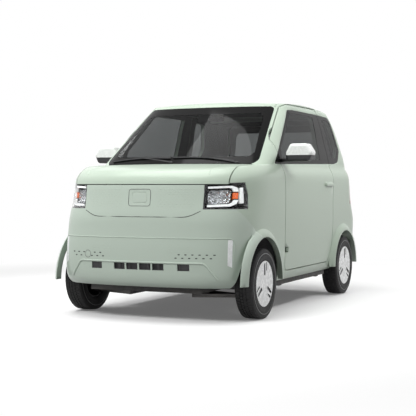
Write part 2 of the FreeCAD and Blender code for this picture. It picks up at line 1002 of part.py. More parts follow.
def windscreen():
    return largest(upper_shell(glass_inset, glass_inset+glass_wall).common(screen_region()))


def roof():
    return largest(upper_shell(0, upper_wall).common(roof_region()).cut(gate_region(shut_gap)))


def tailgate():
    body = largest(cabin_shell().common(gate_region()))
    body = body.cut(gate_window())
    barrel_y, barrel_z = gate_axis()
    for hand in (1, -1):
        notch = box(hand*gate_hinge_x-gate_hinge_width/2-gate_barrel_radius,
                    hand*gate_hinge_x+gate_hinge_width/2+gate_barrel_radius,
                    gate_front-overrun, barrel_y+2*gate_barrel_radius,
                    barrel_z-2*gate_barrel_radius, roof_height)
        body = body.cut(notch)
        pin = along_x(gate_pin_radius, hand*gate_hinge_x-gate_hinge_width/2-2*gate_barrel_radius,
                      hand*gate_hinge_x+gate_hinge_width/2+2*gate_barrel_radius,
                      barrel_y, barrel_z)
        body = body.fuse(pin)
    return body


def gate_axis():
    """The tailgate's pivot line, just below the skin behind its front edge."""
    place = gate_front+gate_hinge_back
    line = Part.makeLine(Vector(gate_hinge_x, place, belt_height),
                         Vector(gate_hinge_x, place, roof_height))
    skin = max(vertex.Z for vertex in line.common(upper_block(0)).Vertexes)
    return place, skin-gate_hinge_inset


def gate_hinges():
    barrel_y, barrel_z = gate_axis()
    hinges = []
    for hand in (1, -1):
        start = hand*gate_hinge_x-gate_hinge_width/2
        barrel = along_x(gate_barrel_radius, start, start+gate_hinge_width, barrel_y, barrel_z)
        strap = box(start, start+gate_hinge_width, gate_front-overrun, barrel_y,
                    barrel_z-gate_barrel_radius, barrel_z+gate_barrel_radius/2)
        bore = along_x(gate_pin_radius+pivot_clearance, start-overrun,
                       start+gate_hinge_width+overrun, barrel_y, barrel_z)
        hinges.append(barrel.fuse(strap).cut(bore))
    return hinges


def tailgate_glass():
    body = upper_shell(glass_inset, glass_inset+glass_wall).common(gate_window())
    return largest(body)


def rear_bumper():
    skin = lower_shell(0, wing_wall)
    skin = skin.common(rear_bumper_region())
    for lip in (flare(rear_axle, rear_arch_radius), mirrored(flare(rear_axle, rear_arch_radius))):
        skin = skin.fuse(lip.common(rear_bumper_region()))
    cutter = arch_cutter(rear_axle, rear_arch_radius)
    skin = skin.cut(cutter).cut(mirrored(cutter)).cut(gate_region(shut_gap))
    skin = skin.cut(box(-side_reach, side_reach, 0, wheelbase*2, 0, bumper_low))
    return largest(skin)


def tail_lamps():
    left = cabin_shell().common(tail_lamp_region()).cut(gate_region(shut_gap))
    left = left.common(lower_shell(-overrun, tail_lamp_depth).fuse(
        upper_shell(-overrun, tail_lamp_depth)))
    return both(largest(left))


# Floor, bulkhead and wheel wells

def well(axle, radius, inner):
    """Half a wheel well: a half ring and its inner wall."""
    outer = along_x(radius+well_wall, inner, well_outer, axle, tyre_radius)
    hollow = along_x(radius, inner+well_wall, well_outer+overrun, axle, tyre_radius)
    keep = box(0, side_reach, axle-2*radius, axle+2*radius, floor_low+floor_wall, belt_height)
    shaft_slot = box(inner-overrun, inner+well_wall+seam, axle-2*axle_tube_radius,
                     axle+2*axle_tube_radius, 0, tyre_radius+2*axle_tube_radius)
    return outer.cut([hollow, shaft_slot]).common(keep)


def floor_pan():
    width = floor_half_width
    front_well = front_arch_radius+well_clearance
    rear_well = rear_arch_radius+well_clearance
    plates = [
        box(-width, width, floor_front, heel_board, floor_low, floor_low+floor_wall),
        box(-bay_half_width, bay_half_width, bay_front, floor_front+seam,
            floor_low, floor_low+floor_wall),
        box(-width, width, heel_board-rear_floor_wall, heel_board, floor_low,
            rear_floor_height+rear_floor_wall),
        box(-width, width, heel_board-rear_floor_wall, rear_floor_end,
            rear_floor_height, rear_floor_height+rear_floor_wall),
        box(-pillar_inner+seam, pillar_inner-seam, bulkhead_y, bulkhead_y+bulkhead_wall,
            floor_low, plenum_height+plenum_wall),
        box(-plenum_half_width, plenum_half_width, plenum_front, bulkhead_y+seam,
            plenum_height, plenum_height+plenum_wall)]
    pan = joined(plates)
    inner = lower_block(lower_wall+seat_clearance)
    foot = box(-side_reach, side_reach, -front_overhang, wheelbase*2, 0, tub_bottom-seam)
    pan = pan.common(inner.fuse(foot))
    parts = [pan]
    for hand in (1, -1):
        parts.extend(jack_pads(hand))
        for axle, radius, start, limit in (
                (0, front_well, front_well_inner, lower_block(wing_wall+seat_clearance)),
                (rear_axle, rear_well, rear_well_inner, inner)):
            cutter = along_x(radius, start, side_reach+overrun, axle, tyre_radius)
            shell = well(axle, radius, start).common(limit)
            if hand < 0:
                cutter = mirrored(cutter)
                shell = mirrored(shell)
            parts[0] = parts[0].cut(cutter)
            parts.append(shell)
        post = box(hand*seat_x-seat_width*0.4, hand*seat_x+seat_width*0.4,
                   seat_front+overrun/2, seat_front+seat_length+seat_back_depth,
                   floor_low+floor_wall-seam, seat_height)
        parts.append(post)
        start = hand*bonnet_arm_x+bonnet_arm_width/2+2*seam
        for face in (start, hand*bonnet_arm_x-bonnet_arm_width/2-2*seam-bonnet_arm_width):
            lug = box(face, face+bonnet_arm_width, bonnet_hinge_y-bonnet_eye_radius,
                      bonnet_hinge_y+bonnet_eye_radius, plenum_height+plenum_wall-seam,
                      bonnet_hinge_z+bonnet_eye_radius)
            parts.append(lug)
        parts.append(along_x(bonnet_pin_radius, hand*bonnet_arm_x-2*bonnet_arm_width,
                             hand*bonnet_arm_x+2*bonnet_arm_width,
                             bonnet_hinge_y, bonnet_hinge_z))
    return joined(parts)


def jack_pads(hand):
    """Flat pads under the floor's edge for a jack."""
    half = jack_pad_size/2
    return [box(hand*jack_pad_x-half, hand*jack_pad_x+half, place-half, place+half,
                floor_low-jack_pad_drop, floor_low+seam) for place in jack_pad_places]


def cowl():
    body = lower_block(2*glass_inset).common(cowl_region())
    body = body.cut([bonnet_swing(), upper_block(-seam)])
    for hand in (1, -1):
        body = body.cut(box(hand*bonnet_arm_x-bonnet_slot_width, hand*bonnet_arm_x+bonnet_slot_width,
                            bonnet_rear_middle-overrun, bonnet_hinge_y*2, plenum_height,
                            roof_height))
    pieces = [solid for solid in body.Solids if solid.BoundBox.DiagonalLength > overrun]
    return Part.makeCompound(pieces)


# Cabin

def dashboard():
    outline = (
        (bulkhead_y+bulkhead_wall+seat_clearance, dash_low),
        (bulkhead_y+bulkhead_wall+seat_clearance, plenum_height+plenum_wall+seat_clearance),
        (dash_front, plenum_height+plenum_wall+seat_clearance),
        (dash_front, dash_top),
        (dash_rear-4*dash_radius, dash_top),
        (dash_rear, dash_top-3*dash_radius),
        (dash_rear-3*dash_radius, dash_low),
    )
    r = dash_radius
    body = side_prism(outline, [r/2, 0, 0, r/3, 2*r, r, r], -dash_half_width, dash_half_width)
    reach = math.cos(math.radians(column_angle))
    rise = math.sin(math.radians(column_angle))
    axis = Vector(0, reach, rise)
    hub = Vector(column_x, column_y, column_z)
    start = hub-axis*column_length
    shroud = Part.makeCylinder(column_radius*1.6, column_length*0.72, start, axis)
    shaft = Part.makeCylinder(column_radius/2, column_length-pivot_clearance, start, axis)
    return joined([body, shroud, shaft])


def steering_wheel():
    rim = Part.makeTorus(steering_radius, steering_rim)
    hub = Part.makeCylinder(steering_hub_radius, steering_hub_wall, Vector(0, 0, -steering_hub_wall/2))
    parts = [rim, hub]
    for angle in (0, 180, 270):
        spoke = box(0, steering_radius, -spoke_width/2, spoke_width/2, -spoke_wall/2, spoke_wall/2)
        spoke.rotate(Vector(0, 0, 0), Vector(0, 0, 1), angle)
        parts.append(spoke)
    wheel = joined(parts)
    wheel.translate(Vector(0, 0, steering_hub_wall/2))
    wheel.rotate(Vector(0, 0, 0), Vector(1, 0, 0), column_angle-90)
    wheel.translate(Vector(column_x, column_y, column_z))
    return wheel


def soft(shape):
    return shape.makeFillet(seat_radius, shape.Edges)


def front_cushion():
    z0 = seat_height+seat_clearance
    body = box(seat_x-seat_width/2, seat_x+seat_width/2, seat_front,
               seat_front+seat_length-seat_clearance, z0, z0+cushion_height)
    return soft(body)


def front_back():
    z0 = seat_height+seat_clearance
    y0 = seat_front+seat_length
    lean = seat_back_lean
    outline = (
        (y0, z0),
        (y0+seat_back_depth, z0),
        (y0+seat_back_depth+lean, z0+seat_back_height),
        (y0+lean, z0+seat_back_height),
    )
    back = side_prism(outline, seat_radius, seat_x-seat_width/2, seat_x+seat_width/2)
    rest_y = y0+lean*1.15
    rest_z = z0+seat_back_height
    rest = box(seat_x-headrest_width/2, seat_x+headrest_width/2, rest_y, rest_y+headrest_depth,
               rest_z+seat_radius, rest_z+seat_radius+headrest_height)
    rest = soft(rest)
    stem = box(seat_x-headrest_width/6, seat_x+headrest_width/6, rest_y+headrest_depth/3,
               rest_y+headrest_depth*2/3, rest_z-seat_radius, rest_z+seat_radius*2)
    return joined([back, rest, stem])


def rear_seat():
    z0 = rear_floor_height+rear_floor_wall+seat_clearance
    cushion = soft(box(-bench_width/2, bench_width/2, bench_front, bench_front+bench_length,
                       z0, z0+cushion_height))
    y0 = bench_front+bench_length+seat_clearance
    back = soft(box(-bench_width/2, bench_width/2, y0, y0+bench_back_depth,
                    z0, z0+bench_back_height))
    return Part.makeCompound([cushion, back])


def interior_mirror():
    housing = box(-room_mirror_width/2, room_mirror_width/2, room_mirror_y,
                  room_mirror_y+room_mirror_depth, room_mirror_z-room_mirror_height/2,
                  room_mirror_z+room_mirror_height/2)
    housing = housing.makeFillet(room_mirror_depth/3, housing.Edges)
    stem = Part.makeCylinder(room_mirror_stem, overrun*6,
                             Vector(0, room_mirror_y+room_mirror_depth/2, room_mirror_z),
                             Vector(0, -1, 1))
    stem = stem.common(upper_block(glass_inset+glass_wall+seat_clearance))
    return joined([housing, stem])


# Mirrors on the doors

def door_mirror():
    middle = (mirror_low+mirror_high)/2
    outline = (
        (mirror_inner, mirror_low),
        (mirror_outer-mirror_radius, mirror_low),
        (mirror_outer, middle),
        (mirror_outer-mirror_radius*1.5, mirror_high),
        (mirror_inner+mirror_radius*1.2, mirror_high),
        (mirror_inner, middle),
    )
    head = front_prism(outline, mirror_radius, mirror_front, mirror_front+mirror_depth)
    front = [edge for edge in head.Edges if edge.BoundBox.YMax < mirror_front+seam]
    head = head.makeFillet(mirror_radius*0.8, front)
    foot_y = mirror_front+mirror_depth/2
    foot = box(body_half_width*0.86, mirror_inner+mirror_radius, foot_y-stalk_length/2,
               foot_y+stalk_length/2, mirror_low, mirror_low+stalk_height)
    foot = foot.cut([upper_block(trim_inset-seat_clearance), lower_block(-shut_gap)])
    return joined([head, largest(foot)])


# Wheels

def tyre():
    half = tyre_width/2
    rim_half = rim_width/2-rim_wall
    outline = (
        Vector(-rim_half, 0, rim_radius+seat_clearance),
        Vector(rim_half, 0, rim_radius+seat_clearance),
        Vector(half*bead_share, 0, rim_radius+(tyre_radius-rim_radius)*0.12),
        Vector(half, 0, rim_radius+(tyre_radius-rim_radius)*0.45),
        Vector(half*0.92, 0, rim_radius+(tyre_radius-rim_radius)*0.86),
        Vector(half*0.72, 0, tyre_radius),
        Vector(-half*0.72, 0, tyre_radius),
        Vector(-half*0.92, 0, rim_radius+(tyre_radius-rim_radius)*0.86),
        Vector(-half, 0, rim_radius+(tyre_radius-rim_radius)*0.45),
        Vector(-half*bead_share, 0, rim_radius+(tyre_radius-rim_radius)*0.12),
    )
    face = Part.Face(Part.makePolygon(list(outline)+[outline[0]]))
    ring = face.revolve(Vector(0, 0, 0), Vector(1, 0, 0), 360)
    return ring


def wheel():
    """Rim barrel, hub disc and the cover with its slots in threes."""
    half = rim_width/2
    barrel = along_x(rim_radius, -half, half, 0, 0).cut(
        along_x(rim_radius-rim_wall, -half-overrun, half+overrun, 0, 0))
    face_x = wheel_outer_face-tyre_middle
    cover = along_x(cover_radius, face_x-4*cover_wall, face_x-cover_wall, 0, 0)
    cover = cover.cut(along_x(cover_radius-cover_wall, -half, face_x-2*cover_wall, 0, 0))
    bead_face = tyre_width/2*bead_share+seat_clearance
    cover = cover.common(along_x(cover_radius, bead_face, face_x, 0, 0).fuse(
        along_x(rim_radius-seat_clearance, 0, face_x, 0, 0)))
    disc = along_x(rim_radius-rim_wall/2, half-hub_wall, half, 0, 0)
    hub = along_x(hub_radius, -half/4, half, 0, 0)
    body = joined([barrel, disc, hub, cover])
    body = body.cut(along_x(stub_radius+running_clearance, -half-overrun,
                            half-hub_wall/2, 0, 0))
    for turn in range(3):
        for width, length, start, offset in (
                (22, 84, 62, 0), (14, 60, 92, 38)):
            slot = box(half-seam, face_x+overrun, offset-width/2, offset+width/2,
                       start, start+length)
            slot.rotate(Vector(0, 0, 0), Vector(1, 0, 0), turn*120)
            body = body.cut(slot)
    return body


def knuckle():
    post = upright(upright_radius, kingpin_offset, 0, upright_low, upright_high)
    carrier = along_x(carrier_radius, kingpin_offset, kingpin_offset+carrier_length,
                      0, tyre_radius)
    stub = along_x(stub_radius, kingpin_offset, tyre_middle+rim_width/2-hub_wall,
                   0, tyre_radius)
    return joined([post, carrier, stub])


def front_suspension():
    """Lower arms and struts, which the knuckles turn between."""
    parts = []
    well_radius = front_arch_radius+well_clearance
    top = tyre_radius+math.sqrt(well_radius**2-strut_radius**2)-seat_clearance
    strut = upright(strut_radius, kingpin_offset, 0, upright_high+pivot_clearance, top)
    arm_top = upright_low-pivot_clearance
    outline = (
        (arm_inner, -arm_spread),
        (kingpin_offset+upright_radius, -upright_radius),
        (kingpin_offset+upright_radius, upright_radius),
        (arm_inner, arm_spread),
    )
    arm = plan_prism(outline, upright_radius/2, arm_top-arm_wall, arm_top)
    mount = box(arm_inner, arm_inner+2*arm_wall, -arm_spread+upright_radius,
                arm_spread-upright_radius, arm_top-seam, floor_low-seat_clearance)
    parts = [strut, arm.fuse(mount)]
    return Part.makeCompound(parts+[mirrored(piece) for piece in parts])


def rear_axle_beam():
    tube = along_x(axle_tube_radius, -axle_half_length, axle_half_length, rear_axle, tyre_radius)
    end = tyre_middle+rim_width/2-hub_wall
    stub = along_x(stub_radius, -end, end, rear_axle, tyre_radius)
    parts = [tube, stub]
    for hand in (1, -1):
        parts.append(upright(spring_radius, hand*spring_x, rear_axle, tyre_radius,
                             rear_floor_height-seat_clearance))
    return joined(parts)


def motor_unit():
    body = along_x(motor_radius, motor_x, motor_x+motor_length, rear_axle, tyre_radius)
    return body.cut(along_x(axle_tube_radius+seat_clearance, motor_x-overrun,
                            motor_x+motor_length+overrun, rear_axle, tyre_radius))


def battery_pack():
    top = floor_low-seat_clearance
    return box(-battery_width/2, battery_width/2, battery_front, battery_front+battery_length,
               top-battery_height, top)


def placed_wheel(shape, hand, axle):
    piece = shape.copy()
    piece.translate(Vector(tyre_middle, axle, tyre_radius))
    return piece if hand > 0 else mirrored(piece)


def parts():
    made = {}
    left = fenders()
    made["fender_left"] = left
    made["fender_right"] = mirrored(left)
    made["front_bumper"] = front_bumper()
    made["lower_grille"] = lower_grille()
    made["front_panel"] = front_panel()
    made["bonnet"] = bonnet()
    made["headlamps"] = headlamps()
    made["headlamp_lenses"] = headlamp_lenses()
    left = side_frame()
    made["side_frame_left"] = left
    made["side_frame_right"] = mirrored(left)
    left = door()
    made["door_left"] = left
    made["door_right"] = mirrored(left)
    left = door_trim()
    made["door_trim_left"] = left
    made["door_trim_right"] = mirrored(left)
    left = pane(door_pane_shares)
    made["door_glass_left"] = left
    made["door_glass_right"] = mirrored(left)
    made["quarter_trim"] = quarter_trim()
    made["quarter_glass"] = both(pane(quarter_pane_shares))
    made["windscreen"] = windscreen()
    made["roof"] = joined([roof()]+gate_hinges())
    made["tailgate"] = tailgate()
    made["tailgate_glass"] = tailgate_glass()
    made["rear_bumper"] = rear_bumper()
    made["tail_lamps"] = tail_lamps()
    made["floor_pan"] = floor_pan()
    made["cowl"] = cowl()
    made["dashboard"] = dashboard()
    made["steering_wheel"] = steering_wheel()
    made["front_seat_cushions"] = both(front_cushion())
    made["front_seat_backs"] = both(front_back())
    made["rear_seat"] = rear_seat()
    made["interior_mirror"] = interior_mirror()
    left = door_mirror()
    made["mirror_left"] = left
    made["mirror_right"] = mirrored(left)
    made["front_suspension"] = front_suspension()
    made["rear_axle"] = rear_axle_beam()
    made["motor_unit"] = motor_unit()
    made["battery_pack"] = battery_pack()
    left = knuckle()
    made["knuckle_left"] = left
    made["knuckle_right"] = mirrored(left)
    rim = wheel()
    rubber = tyre()
    for end, axle in (("front", 0), ("rear", rear_axle)):
        for side, hand in (("left", 1), ("right", -1)):
            made["wheel_"+end+"_"+side] = placed_wheel(rim, hand, axle)
            made["tyre_"+end+"_"+side] = placed_wheel(rubber, hand, axle)
    return made


def main():
    os.makedirs("parts", exist_ok=True)
    for name, shape in parts().items():
        shape.translate(car_shift)
        shape.exportStep("parts/"+name+".step")


if __name__ == "__main__":
    main()
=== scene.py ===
"""Finishes and fittings of a small electric car, built around its CAD frame.

The car stands on the ground and faces -Y, with its left side at +X. Lengths
are in metres. Bodies, hinges and panels come from the frame.
"""

import json
import math

import bmesh
import bpy
from mathutils import Matrix, Vector
from mathutils.bvhtree import BVHTree


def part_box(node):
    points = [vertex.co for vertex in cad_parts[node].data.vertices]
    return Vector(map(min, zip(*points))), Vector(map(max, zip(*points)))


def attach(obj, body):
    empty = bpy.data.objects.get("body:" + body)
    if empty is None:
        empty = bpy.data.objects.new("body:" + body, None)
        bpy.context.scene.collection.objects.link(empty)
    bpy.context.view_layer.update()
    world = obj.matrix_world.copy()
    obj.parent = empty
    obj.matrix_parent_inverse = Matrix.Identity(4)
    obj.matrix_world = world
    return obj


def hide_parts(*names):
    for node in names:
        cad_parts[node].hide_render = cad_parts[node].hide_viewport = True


bl_info = {
    "name": "Microcar Finisher",
    "version": (1, 0, 0),
    "blender": (4, 5, 0),
    "location": "View3D > Sidebar > Microcar",
    "description": "Paints a small car and adds its tyres, lamps, seats and trim",
    "category": "Object",
}

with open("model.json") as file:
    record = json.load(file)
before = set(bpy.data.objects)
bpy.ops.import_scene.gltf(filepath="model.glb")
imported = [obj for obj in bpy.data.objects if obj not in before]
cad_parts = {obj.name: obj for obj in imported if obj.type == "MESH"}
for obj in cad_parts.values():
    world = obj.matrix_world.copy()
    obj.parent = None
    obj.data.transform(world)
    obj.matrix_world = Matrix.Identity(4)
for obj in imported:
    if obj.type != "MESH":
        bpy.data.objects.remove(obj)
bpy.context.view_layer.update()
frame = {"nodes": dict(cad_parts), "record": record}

BODY_OF_NODE = {
    node: body
    for body, nodes in frame["record"]["behaviour"]["bodies"].items()
    for node in nodes
}
SLOT_OF_NODE = {
    part["node"]: part["material_slot"] for part in frame["record"]["subparts"]
}
SIDES = (("left", 1), ("right", -1))
ENDS = ("front", "rear")
AXLE_Y = {end: sum(corner.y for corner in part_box("tyre_%s_left" % end))/2 for end in ENDS}
WHEEL_X = sum(corner.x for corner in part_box("tyre_front_left"))/2
WHEEL_RADIUS = (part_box("tyre_front_left")[1].z-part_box("tyre_front_left")[0].z)/2
TYRE_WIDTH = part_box("tyre_front_left")[1].x-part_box("tyre_front_left")[0].x

# A distance that lies outside the car on every side, and fine limits
FAR = 3.0
CUT_TOLERANCE = 0.00001
PIECE_ANGLE = math.radians(30)

# Outlines of the front's small pieces in x and z, those of the lamps for the left side
UPPER_LIGHT = ((0.494, 0.938), (0.624, 0.944), (0.640, 0.938), (0.648, 0.917),
               (0.672, 0.917), (0.664, 0.944), (0.636, 0.958), (0.494, 0.952))
LOWER_LIGHT = ((0.494, 0.811), (0.638, 0.815), (0.667, 0.833), (0.675, 0.860),
               (0.652, 0.860), (0.644, 0.843), (0.625, 0.832), (0.494, 0.826))
UPRIGHT_LIGHT = ((0.682, 0.834), (0.698, 0.836), (0.689, 0.945), (0.674, 0.943))
AMBER_BLOCK = ((0.648, 0.868), (0.673, 0.868), (0.673, 0.909), (0.648, 0.909))
REFLECTOR_PLATE = ((0.494, 0.832), (0.640, 0.842), (0.640, 0.930), (0.494, 0.928))
# White strips at the ends of the bumper's flat middle: painted highlights on body-coloured slots.
PAINTED_HIGHLIGHT_STRIP = ((0.638, 0.405), (0.663, 0.392), (0.663, 0.582), (0.638, 0.582))
RECESS_EDGE = ((-0.672, 0.400), (-0.672, 0.592), (0.672, 0.592), (0.672, 0.400))
GRILLE_BARS = ((-0.470, -0.388), (-0.300, -0.197), (-0.109, -0.097), (-0.006, 0.006),
               (0.097, 0.109), (0.197, 0.300), (0.388, 0.470))
SLOT_ROWS = ((0.312, 0.479), (0.289, 0.455))

# Studio lamps: name, power, width and depth, place, aim, and whether gloss mirrors it
STUDIO_LAMPS = (
    ("overhead_softbox", "key_power", (3.4, 3.4), (-0.4, -1.2, 4.4), (0, 0, 0.4), True),
    ("front_softbox", "front_power", (3.0, 1.6), (-1.0, -4.9, 4.1), (0, -1.3, 0.8), False),
    ("side_softbox", "side_power", (3.4, 0.6), (2.5, 0.2, 2.7), (0.7, 0.2, 0.8), False),
    ("far_side_softbox", "side_power", (3.4, 0.6), (-2.5, 0.2, 2.7), (-0.7, 0.2, 0.8), False),
    ("rear_softbox", "rear_power", (3.0, 1.6), (1.0, 5.0, 3.9), (0, 1.3, 0.8), False),
)


# Sizes and colours that a user may change

def length(label, text, default):
    return bpy.props.FloatProperty(
        name=label, description=text, default=default, min=0.0, unit="LENGTH", precision=4)


def share(label, text, default):
    return bpy.props.FloatProperty(
        name=label, description=text, default=default, min=0.0, max=1.0, subtype="FACTOR")


def colour(label, text, default):
    return bpy.props.FloatVectorProperty(
        name=label, description=text, default=default, size=3, min=0.0, max=1.0,
        subtype="COLOR")


class BodyLook(bpy.types.PropertyGroup):
    """Paint, trim and lining of the body."""
    paint: colour("Paint", "Metallic paint of the body panels", (0.42, 0.50, 0.415))
    # The bumper paint is lighter than the body paint: partly the bumpers' own tone, partly painted
    # light for their front-facing surfaces.
    bumper_paint: colour("Bumper Paint", "Paint of the bumpers and the front panel",
                         (0.455, 0.53, 0.46))
    paint_roughness: share("Paint Roughness", "Roughness under the clear coat", 0.34)
    flake: share("Flake", "How much the metal flakes vary the paint", 0.10)
    trim: colour("Trim", "Gloss black trim round the windows", (0.006, 0.006, 0.006))
    plastic: colour("Plastic", "Grained black plastic", (0.020, 0.020, 0.021))
    lining: colour("Lining", "Trim on the inner side of doors and pillars", (0.035, 0.035, 0.037))
    headliner: colour("Headliner", "Cloth under the roof", (0.16, 0.16, 0.155))
    lining_turn: share("Lining Turn", "How far a face turns inwards before it is lined", 0.35)
    bumper_lining: length("Bumper Lining", "Half width of the bumper's dark inner side", 0.60)
    weld: length("Weld", "Distance below which points of a panel become one", 0.00002)
    crease_angle: bpy.props.FloatProperty(
        name="Crease Angle", description="Edges sharper than this stay sharp",
        default=math.radians(32), subtype="ANGLE")


class GlassLook(bpy.types.PropertyGroup):
    """Tint of the panes and the black print round the screens."""
    screen_tint: colour("Screen Tint", "Tint of the windscreen", (0.42, 0.43, 0.43))
    side_tint: colour("Side Tint", "Tint of the side and rear windows", (0.22, 0.23, 0.23))
    side_band: length("Side Band", "Width of the black print at the screen's sides", 0.052)
    top_band: length("Top Band", "Width of the black print at the screen's top", 0.060)
    foot_band: length("Foot Band", "Width of the black print at the screen's foot", 0.055)
    band_corner: length("Band Corner", "Corner cut of the clear area", 0.030)


class WiperLook(bpy.types.PropertyGroup):
    """Sizes of the two wipers."""
    blade_width: length("Blade Width", "Width of the wiper blades", 0.009)
    blade_height: length("Blade Height", "Height of the wiper blades", 0.009)
    arm_width: length("Arm Width", "Width of the wiper arms", 0.010)
    lift: length("Lift", "How far the arms stand off the glass", 0.014)


class WheelLook(bpy.types.PropertyGroup):
    """The white part of the wheel covers."""
    cover_depth: length("Cover Depth", "Depth of the white part behind the face", 0.03)
    cover_turn: share("Cover Turn", "How far a face turns outwards to be white", 0.4)


class TyreLook(bpy.types.PropertyGroup):
    """Tread and sidewall of the tyres."""
    # The light ring is a painted highlight: a lighter grey band where light catches the sidewall's
    # bulge.
    ring_radius: length("Ring Radius", "Radius of the light ring on the sidewall", 0.217)
    ring_width: length("Ring Width", "Width of the light ring", 0.005)
    groove_depth: length("Groove Depth", "Depth of the tread grooves", 0.006)
    groove_width: length("Groove Width", "Width of the grooves round the tread", 0.007)
    pitches: bpy.props.IntProperty(
        name="Pitches", description="Tread blocks in one turn", default=64, min=8)
    sidewall_step: length("Sidewall Step", "Height of the ring moulded on the sidewall", 0.0012)


class FrontLook(bpy.types.PropertyGroup):
    """Dashes, seam, badge place and grille frame of the front."""
    dash_length: length("Dash Length", "Length of an embossed dash", 0.013)
    dash_width: length("Dash Width", "Width of an embossed dash", 0.004)
    dash_height: length("Dash Height", "Height of an embossed dash", 0.0020)
    dash_pitch: length("Dash Pitch", "Distance between dashes in a row", 0.030)
    dash_row: length("Dash Row", "Distance between rows of dashes", 0.017)
    panel_inner: length("Panel Inner", "Where the panel's rows start beside the badge", 0.150)
    panel_outer: length("Panel Outer", "Where the panel's rows end", 0.440)
    panel_low: length("Panel Low", "Height of the panel's lowest row", 0.812)
    panel_rows: bpy.props.IntProperty(
        name="Panel Rows", description="Rows of dashes on the panel", default=8, min=1)
    seam_step: length("Seam Step", "How far the panel's foot is narrower than its top", 0.098)
    seam_rise: length("Seam Rise", "How far the panel's lower corners rise", 0.049)
    seam_turn: length("Seam Turn", "How far from a corner the seam starts to turn", 0.050)
    seam_radius: length("Seam Radius", "Half the width of the seam", 0.0026)
    badge_width: length("Badge Width", "Width of the ring round the badge place", 0.172)
    badge_height: length("Badge Height", "Height of that ring", 0.118)
    badge_z: length("Badge Z", "Height of the ring's middle", 0.873)
    badge_turn: length("Badge Turn", "Corner size of that ring", 0.022)
    badge_line: length("Badge Line", "Half the width of that ring's line", 0.0020)
    grille_top: length("Grille Top", "Half width of the grille frame's top", 0.492)
    grille_foot: length("Grille Foot", "Half width of the grille frame's legs", 0.578)
    grille_high: length("Grille High", "Height of the grille frame's top", 0.420)
    grille_low: length("Grille Low", "Height of the legs' lower ends", 0.305)
    grille_turn: length("Grille Turn", "Corner size of the grille frame", 0.024)
    grille_edge: length("Grille Edge", "Radius of the frame's rounded edge", 0.0075)
    bumper_inner: length("Bumper Inner", "Where the bumper's rows start", 0.230)
    bumper_outer: length("Bumper Outer", "Where the bumper's rows end", 0.440)
    bumper_low: length("Bumper Low", "Height of the bumper's lowest row", 0.498)
    bumper_rows: bpy.props.IntProperty(
        name="Bumper Rows", description="Rows of dashes on the bumper", default=3, min=1)


class LampLook(bpy.types.PropertyGroup):
    """What lies behind the lenses, and the bumper's and bonnet's small forms."""
    light_sunk: length("Light Sunk", "How far the light guides lie under the lens", 0.012)
    light_depth: length("Light Depth", "Depth of the light guides", 0.016)
    amber_sunk: length("Amber Sunk", "How far the indicator lies under the lens", 0.020)
    reflector_sunk: length("Reflector Sunk", "How far the reflector lies under the lens", 0.034)
    reflector_depth: length("Reflector Depth", "Thickness of the reflector plate", 0.008)
    # The strips are white, a painted highlight on the bumper's body-coloured slots.
    strip_raise: length("Strip Raise", "How far the daytime strips stand out", 0.0015)
    strip_depth: length("Strip Depth", "Thickness of the daytime strips", 0.006)
    recess_edge: length("Recess Edge", "Radius of the bead round the bumper's middle", 0.0035)
    recess_turn: length("Recess Turn", "Corner size of that bead", 0.040)
    bar_low: length("Bar Low", "Lower end of the painted bars in the grille", 0.3655)
    bar_high: length("Bar High", "Upper end of the painted bars in the grille", 0.4145)
    bar_raise: length("Bar Raise", "How far the bars stand over the bumper", 0.0006)
    bar_depth: length("Bar Depth", "Thickness of the bars", 0.005)
    slots: bpy.props.IntProperty(
        name="Slots", description="Small slots in one row on one side", default=6, min=1)
    slot_pitch: length("Slot Pitch", "Distance between the slots", 0.0495)
    slot_width: length("Slot Width", "Width of a slot", 0.015)
    slot_height: length("Slot Height", "Height of a slot", 0.007)
    slot_raise: length("Slot Raise", "How far a slot's dark insert stands out", 0.0005)
    towing_x: length("Towing X", "Distance of the towing cover from the middle", 0.424)
    towing_z: length("Towing Z", "Height of the towing cover", 0.467)
    towing_radius: length("Towing Radius", "Radius of the towing cover's groove", 0.026)
    towing_line: length("Towing Line", "Half the width of that groove", 0.0016)
    ridge_front: length("Ridge Front", "Distance of the bonnet's creases at the front", 0.486)
    ridge_rear: length("Ridge Rear", "Distance of the bonnet's creases at the rear", 0.432)
    ridge_edge: length("Ridge Edge", "Radius of the rounded crease", 0.0035)
    ridge_start: length("Ridge Start", "How far behind the bonnet's front the creases start", 0.105)
    ridge_length: length("Ridge Length", "How far back the creases run", 0.390)


class MirrorLook(bpy.types.PropertyGroup):
    """Cap and glass of the door mirrors."""
    width: length("Width", "Width of the mirror glass", 0.175)
    height: length("Height", "Height of the mirror glass", 0.112)
    depth: length("Depth", "How far the glass stands out", 0.003)
    corner: length("Corner", "Corner radius of the glass", 0.028)
    drop: length("Drop", "Distance from the head's top to the glass's middle", 0.069)
    cap_foot: length("Cap Foot", "Height at which the pale cap ends", 1.188)


class RearLook(bpy.types.PropertyGroup):
    """Reflectors, tail lights and button of the rear."""
    reflector_x: length("Reflector X", "Distance of the reflectors from the middle", 0.56)
    reflector_z: length("Reflector Z", "Height of the reflectors", 0.42)
    reflector_width: length("Reflector Width", "Width of a reflector", 0.13)
    reflector_height: length("Reflector Height", "Height of a reflector", 0.03)
    reflector_depth: length("Reflector Depth", "Thickness of a reflector", 0.006)
    plate_sunk: length("Plate Sunk", "How far reflectors and button lie in the panel", 0.002)
    light_x: length("Light X", "Distance of the tail lights from the middle", 0.655)
    light_top: length("Light Top", "Height of the amber light", 1.030)
    light_middle: length("Light Middle", "Height of the stop light", 0.970)
    light_low: length("Light Low", "Height of the reversing light", 0.845)
    light_width: length("Light Width", "Width of a tail light", 0.085)
    light_height: length("Light Height", "Height of a tail light", 0.034)
    light_depth: length("Light Depth", "Thickness of a tail light", 0.007)
    light_sunk: length("Light Sunk", "How far a tail light lies in the lamp's cover", 0.004)
    button_z: length("Button Z", "Height of the tailgate's button", 0.86)
    button_width: length("Button Width", "Width of the tailgate's button", 0.07)
    button_height: length("Button Height", "Height of the tailgate's button", 0.022)


